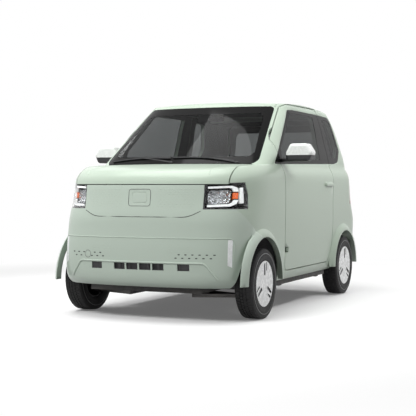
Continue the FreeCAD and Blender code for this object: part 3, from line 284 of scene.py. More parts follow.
class CabinLook(bpy.types.PropertyGroup):
    """Displays, air outlets and armrests."""
    display_width: length("Display Width", "Width of the instrument display", 0.25)
    display_height: length("Display Height", "Height of the instrument display", 0.085)
    display_depth: length("Display Depth", "Thickness of the displays", 0.016)
    display_corner: length("Display Corner", "Corner radius of the displays", 0.012)
    display_back: length("Display Back", "How far the displays stand from the edge", 0.10)
    vent_places: bpy.props.FloatVectorProperty(
        name="Vent Places", description="Distances of the air outlets from the middle",
        default=(0.09, 0.50), size=2, unit="LENGTH")
    vent_width: length("Vent Width", "Width of an air outlet", 0.11)
    vent_height: length("Vent Height", "Height of an air outlet", 0.05)
    vent_depth: length("Vent Depth", "How far an air outlet stands out", 0.006)
    vent_corner: length("Vent Corner", "Corner radius of an air outlet", 0.008)
    vent_drop: length("Vent Drop", "Distance of the outlets below the top", 0.10)
    slats: bpy.props.IntProperty(
        name="Slats", description="Slats across an air outlet", default=4, min=1)
    slat_height: length("Slat Height", "Height of a slat", 0.003)
    slat_depth: length("Slat Depth", "Depth of a slat", 0.006)
    armrest_y: bpy.props.FloatProperty(
        name="Armrest Y", description="Place of the armrests along the car", default=0.06,
        unit="LENGTH")
    armrest_z: length("Armrest Z", "Height of the armrests", 0.70)
    armrest_length: length("Armrest Length", "Length of an armrest", 0.46)
    armrest_height: length("Armrest Height", "Height of an armrest", 0.07)
    armrest_depth: length("Armrest Depth", "How far an armrest stands out", 0.045)


class SeatLook(bpy.types.PropertyGroup):
    """Cloth and seams of the seats."""
    voxel: length("Voxel", "Size of the cloth's faces", 0.009)
    draw_in: length("Draw In", "How much smaller the form starts", 0.008)
    pressure: bpy.props.FloatProperty(
        name="Pressure", description="Pressure inside the cloth", default=4.0)
    frames: bpy.props.IntProperty(name="Frames", description="Steps of the swelling", default=20)
    cap: length("Cap", "How far a point may move", 0.020)
    fill: share("Fill", "How tightly the seats are filled", 0.75)
    seat_x: length("Seat X", "Distance of the seats' middles from the car's", 0.330)
    seam_x: length("Seam X", "Distance of the seams from a seat's middle", 0.125)
    seam_width: length("Seam Width", "Width of a seam's groove", 0.007)
    seam_depth: length("Seam Depth", "Depth of a seam's groove", 0.007)
    channel: length("Channel", "Distance between the sewn channels", 0.09)


class StageLook(bpy.types.PropertyGroup):
    """Floor, lamps and camera of the studio."""
    floor: colour("Floor", "Studio floor as it lights the car", (0.25, 0.25, 0.25))
    pale_floor: colour("Pale Floor", "Studio floor as it is seen", (0.85, 0.85, 0.85))
    floor_size: length("Floor Size", "Length of the square floor's side", 120.0)
    focal_length: bpy.props.FloatProperty(
        name="Focal Length", description="Camera focal length on a 36 mm sensor",
        default=90.35, unit="CAMERA")
    camera_place: bpy.props.FloatVectorProperty(
        name="Camera Place", description="Where the camera stands",
        default=(3.4795, -7.9657, 0.9616), size=3, subtype="TRANSLATION", unit="LENGTH")
    azimuth: bpy.props.FloatProperty(
        name="Azimuth", description="Turn of the camera round the car from straight ahead",
        default=math.radians(24.44), subtype="ANGLE")
    elevation: bpy.props.FloatProperty(
        name="Elevation", description="Angle at which the camera looks down",
        default=math.radians(1.2645), subtype="ANGLE")
    sky_strength: share("Sky Strength", "Light from all round", 0.17)
    key_power: bpy.props.FloatProperty(
        name="Key Power", description="Power of the large overhead lamp", default=115.0,
        unit="POWER")
    front_power: bpy.props.FloatProperty(
        name="Front Power", description="Power of the lamp ahead of the car", default=215.0,
        unit="POWER")
    rear_power: bpy.props.FloatProperty(
        name="Rear Power", description="Power of the lamp behind the car", default=170.0,
        unit="POWER")
    side_power: bpy.props.FloatProperty(
        name="Side Power", description="Power of the lamp beside the car", default=55.0,
        unit="POWER")
    glow_near: share("Glow Near", "How much of the floor's white shows in the shadow", 0.12)
    fade_start: length("Fade Start", "Distance at which the floor starts to turn white", 2.4)
    fade_end: length("Fade End", "Distance from which the floor is white", 5.0)


# Shader building blocks

def group_sockets(tree, direction, sockets):
    for name, kind, default in sockets:
        socket = tree.interface.new_socket(name=name, in_out=direction, socket_type=kind)
        if default is not None:
            socket.default_value = default


def grain_group():
    """A grey value that varies over the surface like fine grain."""
    tree = bpy.data.node_groups.get("surface_grain")
    if tree:
        return tree
    tree = bpy.data.node_groups.new("surface_grain", "ShaderNodeTree")
    group_sockets(tree, "INPUT", (
        ("Scale", "NodeSocketFloat", 40.0), ("Detail", "NodeSocketFloat", 3.0),
        ("Low", "NodeSocketFloat", 0.0), ("High", "NodeSocketFloat", 1.0)))
    group_sockets(tree, "OUTPUT", (("Value", "NodeSocketFloat", None),))
    entry = tree.nodes.new("NodeGroupInput")
    result = tree.nodes.new("NodeGroupOutput")
    place = tree.nodes.new("ShaderNodeTexCoord")
    noise = tree.nodes.new("ShaderNodeTexNoise")
    spread = tree.nodes.new("ShaderNodeMapRange")
    tree.links.new(place.outputs["Object"], noise.inputs["Vector"])
    tree.links.new(entry.outputs["Scale"], noise.inputs["Scale"])
    tree.links.new(entry.outputs["Detail"], noise.inputs["Detail"])
    tree.links.new(noise.outputs["Fac"], spread.inputs["Value"])
    spread.inputs["From Min"].default_value = 0.3
    spread.inputs["From Max"].default_value = 0.7
    tree.links.new(entry.outputs["Low"], spread.inputs["To Min"])
    tree.links.new(entry.outputs["High"], spread.inputs["To Max"])
    tree.links.new(spread.outputs["Result"], result.inputs["Value"])
    return tree


def dust_group():
    """Mixes road dust into a colour near the ground."""
    tree = bpy.data.node_groups.get("road_dust")
    if tree:
        return tree
    tree = bpy.data.node_groups.new("road_dust", "ShaderNodeTree")
    group_sockets(tree, "INPUT", (
        ("Color", "NodeSocketColor", (0.5, 0.5, 0.5, 1.0)),
        ("Dust", "NodeSocketColor", (0.30, 0.28, 0.25, 1.0)),
        ("Height", "NodeSocketFloat", 0.45), ("Amount", "NodeSocketFloat", 0.15)))
    group_sockets(tree, "OUTPUT", (("Color", "NodeSocketColor", None),))
    entry = tree.nodes.new("NodeGroupInput")
    result = tree.nodes.new("NodeGroupOutput")
    place = tree.nodes.new("ShaderNodeTexCoord")
    parts = tree.nodes.new("ShaderNodeSeparateXYZ")
    noise = tree.nodes.new("ShaderNodeTexNoise")
    fade = tree.nodes.new("ShaderNodeMapRange")
    strength = tree.nodes.new("ShaderNodeMath")
    patchy = tree.nodes.new("ShaderNodeMath")
    mix = tree.nodes.new("ShaderNodeMix")
    mix.data_type = "RGBA"
    strength.operation = "MULTIPLY"
    patchy.operation = "MULTIPLY"
    noise.inputs["Scale"].default_value = 9.0
    noise.inputs["Detail"].default_value = 6.0
    tree.links.new(place.outputs["Object"], parts.inputs["Vector"])
    tree.links.new(place.outputs["Object"], noise.inputs["Vector"])
    tree.links.new(parts.outputs["Z"], fade.inputs["Value"])
    tree.links.new(entry.outputs["Height"], fade.inputs["From Min"])
    fade.inputs["From Max"].default_value = 0.0
    tree.links.new(fade.outputs["Result"], strength.inputs[0])
    tree.links.new(entry.outputs["Amount"], strength.inputs[1])
    tree.links.new(strength.outputs["Value"], patchy.inputs[0])
    tree.links.new(noise.outputs["Fac"], patchy.inputs[1])
    tree.links.new(patchy.outputs["Value"], mix.inputs["Factor"])
    tree.links.new(entry.outputs["Color"], mix.inputs["A"])
    tree.links.new(entry.outputs["Dust"], mix.inputs["B"])
    tree.links.new(mix.outputs["Result"], result.inputs["Color"])
    return tree


def placed_group(tree, group, **values):
    """A shader group in a material, with its own values."""
    node = tree.nodes.new("ShaderNodeGroup")
    node.node_tree = group
    for name, value in values.items():
        node.inputs[name].default_value = value
    return node


def new_material(name):
    material = bpy.data.materials.new(name)
    material.use_nodes = True
    tree = material.node_tree
    shader = tree.nodes["Principled BSDF"]
    return material, tree, shader


def toned(tree, colour_value, amount, scale, dust=0.0):
    """The colour, lighter and darker over the surface, with dust low down."""
    grain = placed_group(tree, grain_group(), Scale=scale, Low=0.0, High=1.0)
    mix = tree.nodes.new("ShaderNodeMix")
    mix.data_type = "RGBA"
    low = [max(part*(1-amount), 0) for part in colour_value]
    high = [min(part*(1+amount), 1) for part in colour_value]
    mix.inputs["A"].default_value = (*low, 1)
    mix.inputs["B"].default_value = (*high, 1)
    tree.links.new(grain.outputs["Value"], mix.inputs["Factor"])
    if not dust:
        return mix.outputs["Result"]
    dusty = placed_group(tree, dust_group(), Amount=dust)
    tree.links.new(mix.outputs["Result"], dusty.inputs["Color"])
    return dusty.outputs["Color"]


def varied_roughness(tree, shader, low, high, scale):
    """Roughness that wanders between two values."""
    grain = placed_group(tree, grain_group(), Scale=scale, Low=low, High=high)
    tree.links.new(grain.outputs["Value"], shader.inputs["Roughness"])


def fine_bump(tree, shader, scale, distance):
    """A fine grain in the surface."""
    grain = placed_group(tree, grain_group(), Scale=scale, Detail=4.0)
    bump = tree.nodes.new("ShaderNodeBump")
    bump.inputs["Strength"].default_value = 0.35
    bump.inputs["Distance"].default_value = distance
    tree.links.new(grain.outputs["Value"], bump.inputs["Height"])
    tree.links.new(bump.outputs["Normal"], shader.inputs["Normal"])


def paint_material(name, colour_value, look):
    """Metallic paint: a flaked base below a clear coat."""
    material, tree, shader = new_material(name)
    tone = toned(tree, colour_value, look.flake*0.35, 900.0, dust=0.05)
    tree.links.new(tone, shader.inputs["Base Color"])
    varied_roughness(tree, shader, look.paint_roughness*0.9, look.paint_roughness*1.1, 60.0)
    shader.inputs["Metallic"].default_value = 0.08
    shader.inputs["Specular IOR Level"].default_value = 0.25
    shader.inputs["Coat Weight"].default_value = 0.25
    shader.inputs["Coat Roughness"].default_value = 0.10
    return material


def plain_material(name, colour_value, low, high, metallic=0.0, coat=0.0, bump=0.0,
                   scale=220.0, dust=0.0, specular=0.5, amount=0.08):
    """A material that varies a little in tone and roughness."""
    material, tree, shader = new_material(name)
    tone = toned(tree, colour_value, amount, scale*0.3, dust=dust)
    tree.links.new(tone, shader.inputs["Base Color"])
    varied_roughness(tree, shader, low, high, scale*0.2)
    shader.inputs["Metallic"].default_value = metallic
    shader.inputs["Coat Weight"].default_value = coat
    shader.inputs["Specular IOR Level"].default_value = specular
    if bump:
        fine_bump(tree, shader, scale, bump)
    return material


def sparkle_material(name, colour_value):
    """Faceted bright metal, as at the back of a lamp."""
    material, tree, shader = new_material(name)
    place = tree.nodes.new("ShaderNodeTexCoord")
    cells = tree.nodes.new("ShaderNodeTexVoronoi")
    bump = tree.nodes.new("ShaderNodeBump")
    cells.inputs["Scale"].default_value = 70.0
    bump.inputs["Strength"].default_value = 1.0
    bump.inputs["Distance"].default_value = 0.012
    tree.links.new(place.outputs["Object"], cells.inputs["Vector"])
    tree.links.new(cells.outputs["Distance"], bump.inputs["Height"])
    tree.links.new(bump.outputs["Normal"], shader.inputs["Normal"])
    tree.links.new(toned(tree, colour_value, 0.5, 120.0), shader.inputs["Base Color"])
    varied_roughness(tree, shader, 0.08, 0.25, 50.0)
    shader.inputs["Metallic"].default_value = 1.0
    return material


def glass_material(name, colour_value):
    """Tinted glass that hardly bends what is seen through it."""
    material, tree, shader = new_material(name)
    tone = toned(tree, colour_value, 0.04, 3.0)
    tree.links.new(tone, shader.inputs["Base Color"])
    shader.inputs["Roughness"].default_value = 0.01
    shader.inputs["Transmission Weight"].default_value = 1.0
    shader.inputs["IOR"].default_value = 1.12
    return material


MATERIALS = {}


def make_materials(look, glass):
    """Fills the table of finishes, by the names that the pieces use."""
    made = MATERIALS
    made["paint"] = paint_material("sage_metallic_paint", look.paint, look)
    # A lighter copy of the body paint: partly own tone, partly painted light on the front-facing
    # parts.
    made["bumper_paint"] = paint_material("sage_bumper_paint", look.bumper_paint, look)
    made["black_trim"] = plain_material("gloss_black_trim", look.trim, 0.12, 0.2, specular=0.07)
    made["black_plastic"] = plain_material(
        "grained_black_plastic", look.plastic, 0.45, 0.6, bump=0.0004, scale=700.0)
    made["glass"] = glass_material("tinted_window_glass", glass.side_tint)
    made["screen_glass"] = glass_material("tinted_screen_glass", glass.screen_tint)
    made["glass_print"] = plain_material("black_print_on_glass", look.trim, 0.05, 0.09,
                                        specular=0.06)
    made["lining"] = plain_material("moulded_cabin_lining", look.lining, 0.5, 0.7,
                                    bump=0.0003, scale=500.0)
    made["headliner"] = plain_material("cloth_headliner", look.headliner, 0.8, 0.95,
                                       bump=0.0005, scale=900.0)
    made["badge_line"] = plain_material("satin_grey_line", (0.10, 0.105, 0.10), 0.3, 0.4)
    made["rubber"] = plain_material("black_rubber", look.plastic, 0.5, 0.7)
    made["display"] = plain_material("dark_display_glass", look.trim, 0.04, 0.08, coat=1.0)
    made["lens"] = glass_material("clear_lamp_lens", (0.97, 0.98, 0.98))
    made["lamp"] = plain_material("black_lamp_housing", (0.02, 0.02, 0.021), 0.2, 0.3)
    # This white also paints the bumper's highlight strips.
    made["lamp_and_highlight_white"] = plain_material("white_light_guide", (0.84, 0.86, 0.86), 0.2, 0.3)
    made["amber_lamp"] = plain_material("amber_indicator", (0.80, 0.13, 0.015), 0.15, 0.25,
                                        coat=0.6)
    made["reflector"] = sparkle_material("faceted_lamp_reflector", (0.30, 0.31, 0.32))
    made["red_lamp"] = plain_material("red_tail_lamp", (0.24, 0.006, 0.006), 0.08, 0.16,
                                      coat=0.3, specular=0.3)
    made["stop_light"] = plain_material("bright_red_light", (0.55, 0.01, 0.01), 0.1, 0.2,
                                        coat=0.4)
    made["steel"] = plain_material("black_coated_steel", (0.05, 0.05, 0.052), 0.4, 0.6,
                                   metallic=0.6, dust=0.5)
    made["casting"] = plain_material("cast_aluminium_case", (0.42, 0.43, 0.44), 0.4, 0.55,
                                     metallic=0.9, bump=0.0004, scale=300.0, dust=0.3)
    made["battery"] = plain_material("coated_battery_case", (0.09, 0.09, 0.10), 0.4, 0.6,
                                     metallic=0.3, dust=0.6)
    made["wheel_cover"] = plain_material("white_wheel_cover", (0.86, 0.87, 0.87), 0.22, 0.32,
                                         coat=0.4, dust=0.04, amount=0.015)
    made["tyre"] = plain_material("tyre_rubber", (0.013, 0.013, 0.014), 0.55, 0.75,
                                  bump=0.0003, scale=420.0, dust=0.06, specular=0.3)
    # Dark of the wheel behind the cover, also laid on the covers' slot walls and turned edges as
    # painted shade.
    made["wheel_dark"] = plain_material("dark_wheel_paint", (0.022, 0.022, 0.023), 0.35, 0.5,
                                        dust=0.1)
    # Lighter grey ring on the sidewalls: a painted highlight.
    made["tyre_ring"] = plain_material("worn_sidewall_ring", (0.19, 0.19, 0.19), 0.6, 0.8)
    made["seat"] = plain_material("woven_seat_fabric", (0.09, 0.092, 0.095), 0.8, 0.95,
                                  bump=0.0006, scale=900.0)
    made["cabin_plastic"] = plain_material("soft_cabin_plastic", (0.05, 0.05, 0.052), 0.5, 0.65,
                                           bump=0.0003, scale=600.0)
    made["mirror_shell"] = plain_material("pale_mirror_cap", (0.72, 0.74, 0.72), 0.2, 0.3,
                                          coat=0.6)
    made["floor"] = plain_material("dark_underbody_coating", (0.03, 0.03, 0.031), 0.6, 0.8,
                                   bump=0.0008, scale=160.0, dust=0.4)
    made["mirror_glass"] = plain_material("mirror_glass", (0.8, 0.81, 0.82), 0.01, 0.03,
                                          metallic=1.0)


# Mesh building blocks

def finished_mesh(name, bm, material, body):
    """Turns a bmesh into a shaded piece that rides on a body."""
    bmesh.ops.remove_doubles(bm, verts=bm.verts, dist=CUT_TOLERANCE)
    bmesh.ops.recalc_face_normals(bm, faces=bm.faces)
    mesh = bpy.data.meshes.new(name)
    bm.to_mesh(mesh)
    bm.free()
    piece = bpy.data.objects.new(name, mesh)
    bpy.context.scene.collection.objects.link(piece)
    mesh.materials.append(MATERIALS[material])
    shade(mesh, PIECE_ANGLE)
    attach(piece, body)
    return piece


def shade(mesh, angle):
    """Smooths a mesh but for edges sharper than the angle."""
    mesh.polygons.foreach_set("use_smooth", [True]*len(mesh.polygons))
    mesh.set_sharp_from_angle(angle=angle)


def welded_mesh(node, weld):
    """A bmesh of a frame node whose loose triangles are joined."""
    bm = bmesh.new()
    bm.from_mesh(frame["nodes"][node].data)
    bmesh.ops.remove_doubles(bm, verts=bm.verts, dist=weld)
    return bm


def dressed_copy(node, bm, materials, angle):
    """A smoothly shaded piece that stands for a frame node."""
    mesh = bpy.data.meshes.new(node+"_finish")
    bm.to_mesh(mesh)
    bm.free()
    for material in materials:
        mesh.materials.append(MATERIALS[material])
    shade(mesh, angle)
    piece = bpy.data.objects.new(node+"_finish", mesh)
    bpy.context.scene.collection.objects.link(piece)
    weigh = piece.modifiers.new("even_normals", "WEIGHTED_NORMAL")
    weigh.keep_sharp = True
    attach(piece, BODY_OF_NODE[node])
    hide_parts(node)
    return piece


def surface_of(node):
    """A search tree of a frame node's faces."""
    bm = bmesh.new()
    bm.from_mesh(frame["nodes"][node].data)
    tree = BVHTree.FromBMesh(bm)
    bm.free()
    return tree


def met_from(tree, start, direction):
    """Where a line first meets a surface, and the way the surface faces there."""
    place, normal, index, distance = tree.ray_cast(Vector(start), Vector(direction))
    if place is None:
        raise RuntimeError("no surface is met from %s" % (tuple(start),))
    if normal.dot(Vector(direction)) > 0:
        normal = -normal
    return place, normal


def from_ahead(tree, x, z):
    """Where a line from before the car meets a surface, and how it faces there."""
    return met_from(tree, (x, -FAR, z), (0, 1, 0))


def from_behind(tree, x, z):
    """Where a line from behind the car meets a surface, and how it faces there."""
    return met_from(tree, (x, FAR, z), (0, -1, 0))


def cut_through(bm, point, across):
    """Cuts a mesh along a plane and keeps both sides."""
    geometry = list(bm.verts)+list(bm.edges)+list(bm.faces)
    bmesh.ops.bisect_plane(bm, geom=geometry, dist=CUT_TOLERANCE, plane_co=point,
                           plane_no=across)


def facing(place, outward, upward=(0, 0, 1)):
    """Turns a shape drawn on XY so that its Z looks outward at a place."""
    z_axis = Vector(outward).normalized()
    x_axis = Vector(upward).cross(z_axis).normalized()
    y_axis = z_axis.cross(x_axis)
    turn = Matrix((x_axis, y_axis, z_axis)).transposed().to_4x4()
    return Matrix.Translation(place) @ turn


def add_plate(bm, width, height, depth, corner, matrix, segments=5):
    """A plate with round corners, drawn on XY and placed by a matrix."""
    made = bmesh.ops.create_grid(bm, x_segments=1, y_segments=1, size=0.5)
    verts = made["verts"]
    bmesh.ops.scale(bm, vec=(width, height, 1), verts=verts)
    made = bmesh.ops.bevel(bm, geom=verts, offset=corner, offset_type="OFFSET", segments=segments,
                           profile=0.5, affect="VERTICES", material=-1)
    face = made["verts"][0].link_faces[0]
    base = list(face.verts)
    made = bmesh.ops.extrude_face_region(bm, geom=[face])
    top = [item for item in made["geom"] if isinstance(item, bmesh.types.BMVert)]
    bmesh.ops.translate(bm, vec=(0, 0, depth), verts=top)
    rim = [edge for edge in {edge for vert in top for edge in vert.link_edges}
           if all(vert in top for vert in edge.verts)]
    softened = bmesh.ops.bevel(bm, geom=rim, offset=depth*0.3, offset_type="OFFSET", segments=2,
                               profile=0.5, affect="EDGES", material=-1)
    verts = set(base) | {vert for vert in top if vert.is_valid} | set(softened["verts"])
    bmesh.ops.transform(bm, matrix=matrix, verts=list(verts))
    return list(verts)


def add_bar(bm, path, width, height, up, taper=1.0):
    """A bar of rectangular section along a path, narrower towards its end."""
    face = None
    for index, point in enumerate(path):
        before = path[max(index-1, 0)]
        after = path[min(index+1, len(path)-1)]
        along = (after-before).normalized()
        across = along.cross(Vector(up)).normalized()
        rise = across.cross(along)
        size = 1+(taper-1)*index/(len(path)-1)
        corners = [point+across*width*size*a/2+rise*height*size*b/2
                   for a, b in ((-1, -1), (1, -1), (1, 1), (-1, 1))]
        if face is None:
            face = bm.faces.new([bm.verts.new(corner) for corner in corners])
            continue
        made = bmesh.ops.extrude_face_region(bm, geom=[face])
        face = next(item for item in made["geom"] if isinstance(item, bmesh.types.BMFace))
        for vert in face.verts:
            vert.co = min(corners, key=lambda corner: (corner-vert.co).length)


def add_tube(bm, path, radius, closed=False, segments=8):
    """A round bead along a path, with closed ends or in a ring."""
    count = len(path)
    rings = []
    for index, point in enumerate(path):
        before = path[index-1] if closed or index else point
        after = path[(index+1) % count] if closed or index < count-1 else point
        made = bmesh.ops.create_circle(bm, cap_ends=False, segments=segments, radius=radius)
        bmesh.ops.transform(bm, matrix=facing(point, after-before, (0, 1, 0.1)),
                            verts=made["verts"])
        rings.append({edge for vert in made["verts"] for edge in vert.link_edges})
    for index in range(count if closed else count-1):
        bmesh.ops.bridge_loops(bm, edges=list(rings[index] | rings[(index+1) % count]))
    if not closed:
        bmesh.ops.holes_fill(bm, edges=list(rings[0] | rings[-1]), sides=segments)


def add_sheet(bm, outline, surface, sunk, thickness, spread=1.0, step=0.025):
    """A plate drawn in x and z that follows a surface, a little under or over it.

    A spread over 1 looks for the surface above and below the plate, so that it can bridge
    an opening.
    """
    sheet = bmesh.new()
    sheet.faces.new([sheet.verts.new((x, 0, z)) for x, z in outline])
    start = min(x for x, z in outline)
    span = max(x for x, z in outline)-start
    columns = int(span/step)+1
    for index in range(1, columns):
        cut_through(sheet, (start+span*index/columns, 0, 0), (1, 0, 0))
    foot = min(z for x, z in outline)
    rise = max(z for x, z in outline)-foot
    rows = int(rise/step)+1 if spread == 1.0 else 1
    for index in range(1, rows):
        cut_through(sheet, (0, 0, foot+rise*index/rows), (0, 0, 1))
    middle = foot+rise/2
    for vert in sheet.verts:
        height = vert.co.z
        place, normal = from_ahead(surface, vert.co.x, middle+(height-middle)*spread)
        vert.co = place-normal*sunk
        if spread != 1.0:
            vert.co.z = height
    for face in sheet.faces:
        face.normal_update()
        if face.normal.y > 0:
            face.normal_flip()
    sheet.normal_update()
    bmesh.ops.solidify(sheet, geom=list(sheet.faces), thickness=thickness)
    bmesh.ops.recalc_face_normals(sheet, faces=sheet.faces)
    mesh = bpy.data.meshes.new("sheet")
    sheet.to_mesh(mesh)
    sheet.free()
    bm.from_mesh(mesh)
    bpy.data.meshes.remove(mesh)


def on_side(outline, hand):
    """An outline for the left side, or its mirror image for the right one."""
    return [(hand*x, z) for x, z in outline]


def stepped(outline, step=0.03):
    """Points about a step apart along an outline, without its last one."""
    points = []
    for first, second in zip(outline, outline[1:]):
        count = max(int((second-first).length/step), 1)
        points += [first.lerp(second, index/count) for index in range(count)]
    return points


def rounded_path(corners, radius, steps=6):
    """The points of a line through corners, turned round by a radius at each inner one."""
    path = [Vector(corners[0])]
    for before, corner, after in zip(corners, corners[1:], corners[2:]):
        before, corner, after = Vector(before), Vector(corner), Vector(after)
        start = corner+(before-corner).normalized()*radius
        end = corner+(after-corner).normalized()*radius
        for step in range(steps+1):
            share_done = step/steps
            path.append(start*(1-share_done)**2+corner*2*share_done*(1-share_done)
                        + end*share_done**2)
    path.append(Vector(corners[-1]))
    return path


# The car's pieces

class CAR_OT_finish_panels(bpy.types.Operator):
    """Weld, smooth and paint every panel, and line its inner side"""
    bl_idname = "car.finish_panels"
    bl_label = "Finish Panels"

    def execute(self, context):
        look = context.scene.car_body
        make_materials(look, context.scene.car_glass)
        for node, slot in SLOT_OF_NODE.items():
            if slot in ("tyre", "glass", "wheel_cover", "seat", "mirror_shell"):
                continue
            bm = welded_mesh(node, look.weld)
            lining, inward = self.lining_of(node)
            bumper = node.endswith("bumper")
            for face in bm.faces:
                lined = face.normal.dot(inward) > look.lining_turn
                if bumper:
                    lined = lined and abs(face.calc_center_median().x) < look.bumper_lining
                face.material_index = int(lined)
            dressed_copy(node, bm, (slot, lining), look.crease_angle)
        return {"FINISHED"}

    def lining_of(self, node):
        """The finish of a panel's inner side, and the way that side faces."""
        hand = -1 if node.endswith("_left") else 1
        if node.startswith(("door_left", "door_right", "side_frame")):
            return "lining", Vector((hand, 0, 0))
        if node.startswith("fender"):
            return "floor", Vector((hand, 0, 0))
        if node == "roof":
            return "headliner", Vector((0, 0, -1))
        if node == "tailgate":
            return "lining", Vector((0, -1, 0))
        if node in ("front_bumper", "front_panel"):
            return "floor", Vector((0, 1, 0))
        if node == "bonnet":
            return "floor", Vector((0, 0, -1))
        if node == "interior_mirror":
            return "mirror_glass", Vector((0, 2, 0))
        return SLOT_OF_NODE[node], Vector((0, 0, 0))


class CAR_OT_build_glass(bpy.types.Operator):
    """Cut the black print's inner line into the screens and tint the panes"""
    bl_idname = "car.build_glass"
    bl_label = "Build Glass"

    def execute(self, context):
        look = context.scene.car_glass
        body = context.scene.car_body
        for node, slot in SLOT_OF_NODE.items():
            if slot != "glass":
                continue
            bm = welded_mesh(node, body.weld)
            clear = "screen_glass" if node == "windscreen" else "glass"
            if node in ("windscreen", "tailgate_glass"):
                self.print_border(bm, look)
            dressed_copy(node, bm, (clear, "glass_print"), body.crease_angle)
        return {"FINISHED"}

    def print_border(self, bm, look):
        """Cuts along the clear area's outline and marks what lies outside it."""
        outline = self.clear_outline(bm, look)
        middle = sum((corner for corner in outline), Vector((0, 0)))/len(outline)
        sides = []
        for index, first in enumerate(outline):
            second = outline[(index+1) % len(outline)]
            across = Vector((second.y-first.y, first.x-second.x)).normalized()
            if across.dot(middle-first) > 0:
                across = -across
            sides.append((Vector((first.x, 0, first.y)), Vector((across.x, 0, across.y))))
        for point, across in sides:
            cut_through(bm, point, across)
        for face in bm.faces:
            centre = face.calc_center_median()
            outside = any((centre-point).dot(across) > 0 for point, across in sides)
            face.material_index = int(outside)

    def clear_outline(self, bm, look):
        """The clear area's corners, seen from ahead as x and z."""
        low = min(vert.co.z for vert in bm.verts)
        high = max(vert.co.z for vert in bm.verts)
        span = high-low
        foot = max(vert.co.x for vert in bm.verts if vert.co.z < low+0.25*span)
        head = max(vert.co.x for vert in bm.verts if vert.co.z > high-0.15*span)
        low += look.foot_band
        high -= look.top_band
        foot -= look.side_band
        head -= look.side_band
        cut = look.band_corner
        half = [(foot-cut, low), (foot, low+cut), (head, high-cut), (head-cut, high)]
        return [Vector(corner) for corner in half+[(-x, z) for x, z in reversed(half)]]


class CAR_OT_build_wheels(bpy.types.Operator):
    """Paint the wheel covers' front white and the rest dark"""
    bl_idname = "car.build_wheels"
    bl_label = "Build Wheels"

    def execute(self, context):
        body = context.scene.car_body
        look = context.scene.car_wheel
        for end in ENDS:
            for side, hand in SIDES:
                node = "wheel_%s_%s" % (end, side)
                bm = welded_mesh(node, body.weld)
                face_x = max(hand*vert.co.x for vert in bm.verts)
                for face in bm.faces:
                    centre = face.calc_center_median()
                    # Faces not turned outwards go dark: the wheel behind is dark paint, and the
                    # covers' slot walls and turned edges get it as painted shade.
                    turned = hand*face.normal.x > look.cover_turn
                    front = turned and hand*centre.x > face_x-look.cover_depth
                    face.material_index = 0 if front else 1
                dressed_copy(node, bm, ("wheel_cover", "wheel_dark"), body.crease_angle)
        return {"FINISHED"}


class CAR_OT_build_tyres(bpy.types.Operator):
    """Spin the tyres' section and set tread blocks round it"""
    bl_idname = "car.build_tyres"
    bl_label = "Build Tyres"

    def execute(self, context):
        look = context.scene.car_tyre
        for end in ENDS:
            for side, hand in SIDES:
                name = "tyre_%s_%s" % (end, side)
                bm = bmesh.new()
                self.spin_carcass(bm, look)
                self.set_blocks(bm, look)
                place = Matrix.Translation((hand*WHEEL_X, AXLE_Y[end], WHEEL_RADIUS))
                if hand < 0:
                    place = place @ Matrix.Scale(-1, 4, (1, 0, 0))
                bmesh.ops.transform(bm, matrix=place, verts=bm.verts)
                # The ring's lighter grey is a painted highlight.
                self.paint_highlight_ring(bm, look, AXLE_Y[end])
                piece = finished_mesh(name+"_rubber", bm, "tyre", BODY_OF_NODE[name])
                piece.data.materials.append(MATERIALS["tyre_ring"])
                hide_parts(name)
        return {"FINISHED"}

    def paint_highlight_ring(self, bm, look, axle_y):
        """Gives the narrow ring on both sidewalls a lighter grey, a painted highlight on the
        sidewall's bulge.
        """
        for face in bm.faces:
            centre = face.calc_center_median()
            radius = math.hypot(centre.y-axle_y, centre.z-WHEEL_RADIUS)
            ring = abs(radius-look.ring_radius) < look.ring_width*0.6
            face.material_index = int(ring and abs(face.normal.x) > 0.5)

    def spin_carcass(self, bm, look):
        """A closed ring: tread base, sidewalls with a moulded ring, beads."""
        half = TYRE_WIDTH/2
        outer = WHEEL_RADIUS-look.groove_depth
        inner = WHEEL_RADIUS*0.60
        wall = outer-inner
        section = (
            (0.66*half, inner), (0.84*half, inner+0.06*wall), (0.97*half, inner+0.30*wall),
            (1.00*half-look.sidewall_step, inner+0.46*wall), (1.00*half, inner+0.47*wall),
            (1.00*half, inner+0.53*wall), (0.99*half, inner+0.56*wall),
            (0.985*half, look.ring_radius-look.ring_width/2),
            (0.975*half, look.ring_radius+look.ring_width/2),
            (0.955*half, inner+0.80*wall), (0.90*half, inner+0.93*wall),
            (0.80*half, outer-0.0015), (0.40*half, outer), (0.0, outer))
        path = [Vector((x, 0, r)) for x, r in section]
        path += [Vector((-x, 0, r)) for x, r in reversed(section[:-1])]
        verts = [bm.verts.new(point) for point in path]
        edges = [bm.edges.new((verts[i], verts[(i+1) % len(verts)])) for i in range(len(verts))]
        bmesh.ops.spin(bm, geom=verts+edges, cent=(0, 0, 0), axis=(1, 0, 0),
                       angle=math.tau, steps=96, use_merge=True)

    def set_blocks(self, bm, look):
        """Four rows of tread blocks, each row turned by part of a pitch."""
        half = TYRE_WIDTH/2
        rows = ((-0.60, 0.50, 0.0), (-0.19, 0.26, 0.35), (0.19, 0.26, 0.7), (0.60, 0.50, 0.15))
        pitch = math.tau/look.pitches
        long_side = pitch*WHEEL_RADIUS
        for middle, width, turn in rows:
            for index in range(look.pitches):
                made = bmesh.ops.create_cube(bm, size=1.0)
                verts = made["verts"]
                span = width*half-look.groove_width*0.5
                size = Vector((span, long_side*0.86, look.groove_depth))
                bmesh.ops.scale(bm, vec=size, verts=verts)
                bmesh.ops.translate(
                    bm, vec=(middle*half, 0, WHEEL_RADIUS-look.groove_depth/2-0.0004),
                    verts=verts)
                for vert in verts:
                    drop = max(abs(vert.co.x)/half-0.62, 0)
                    vert.co.z -= drop*drop*0.075
                bmesh.ops.rotate(bm, cent=(0, 0, 0), verts=verts,
                                 matrix=Matrix.Rotation(pitch*(index+turn), 3, "X"))


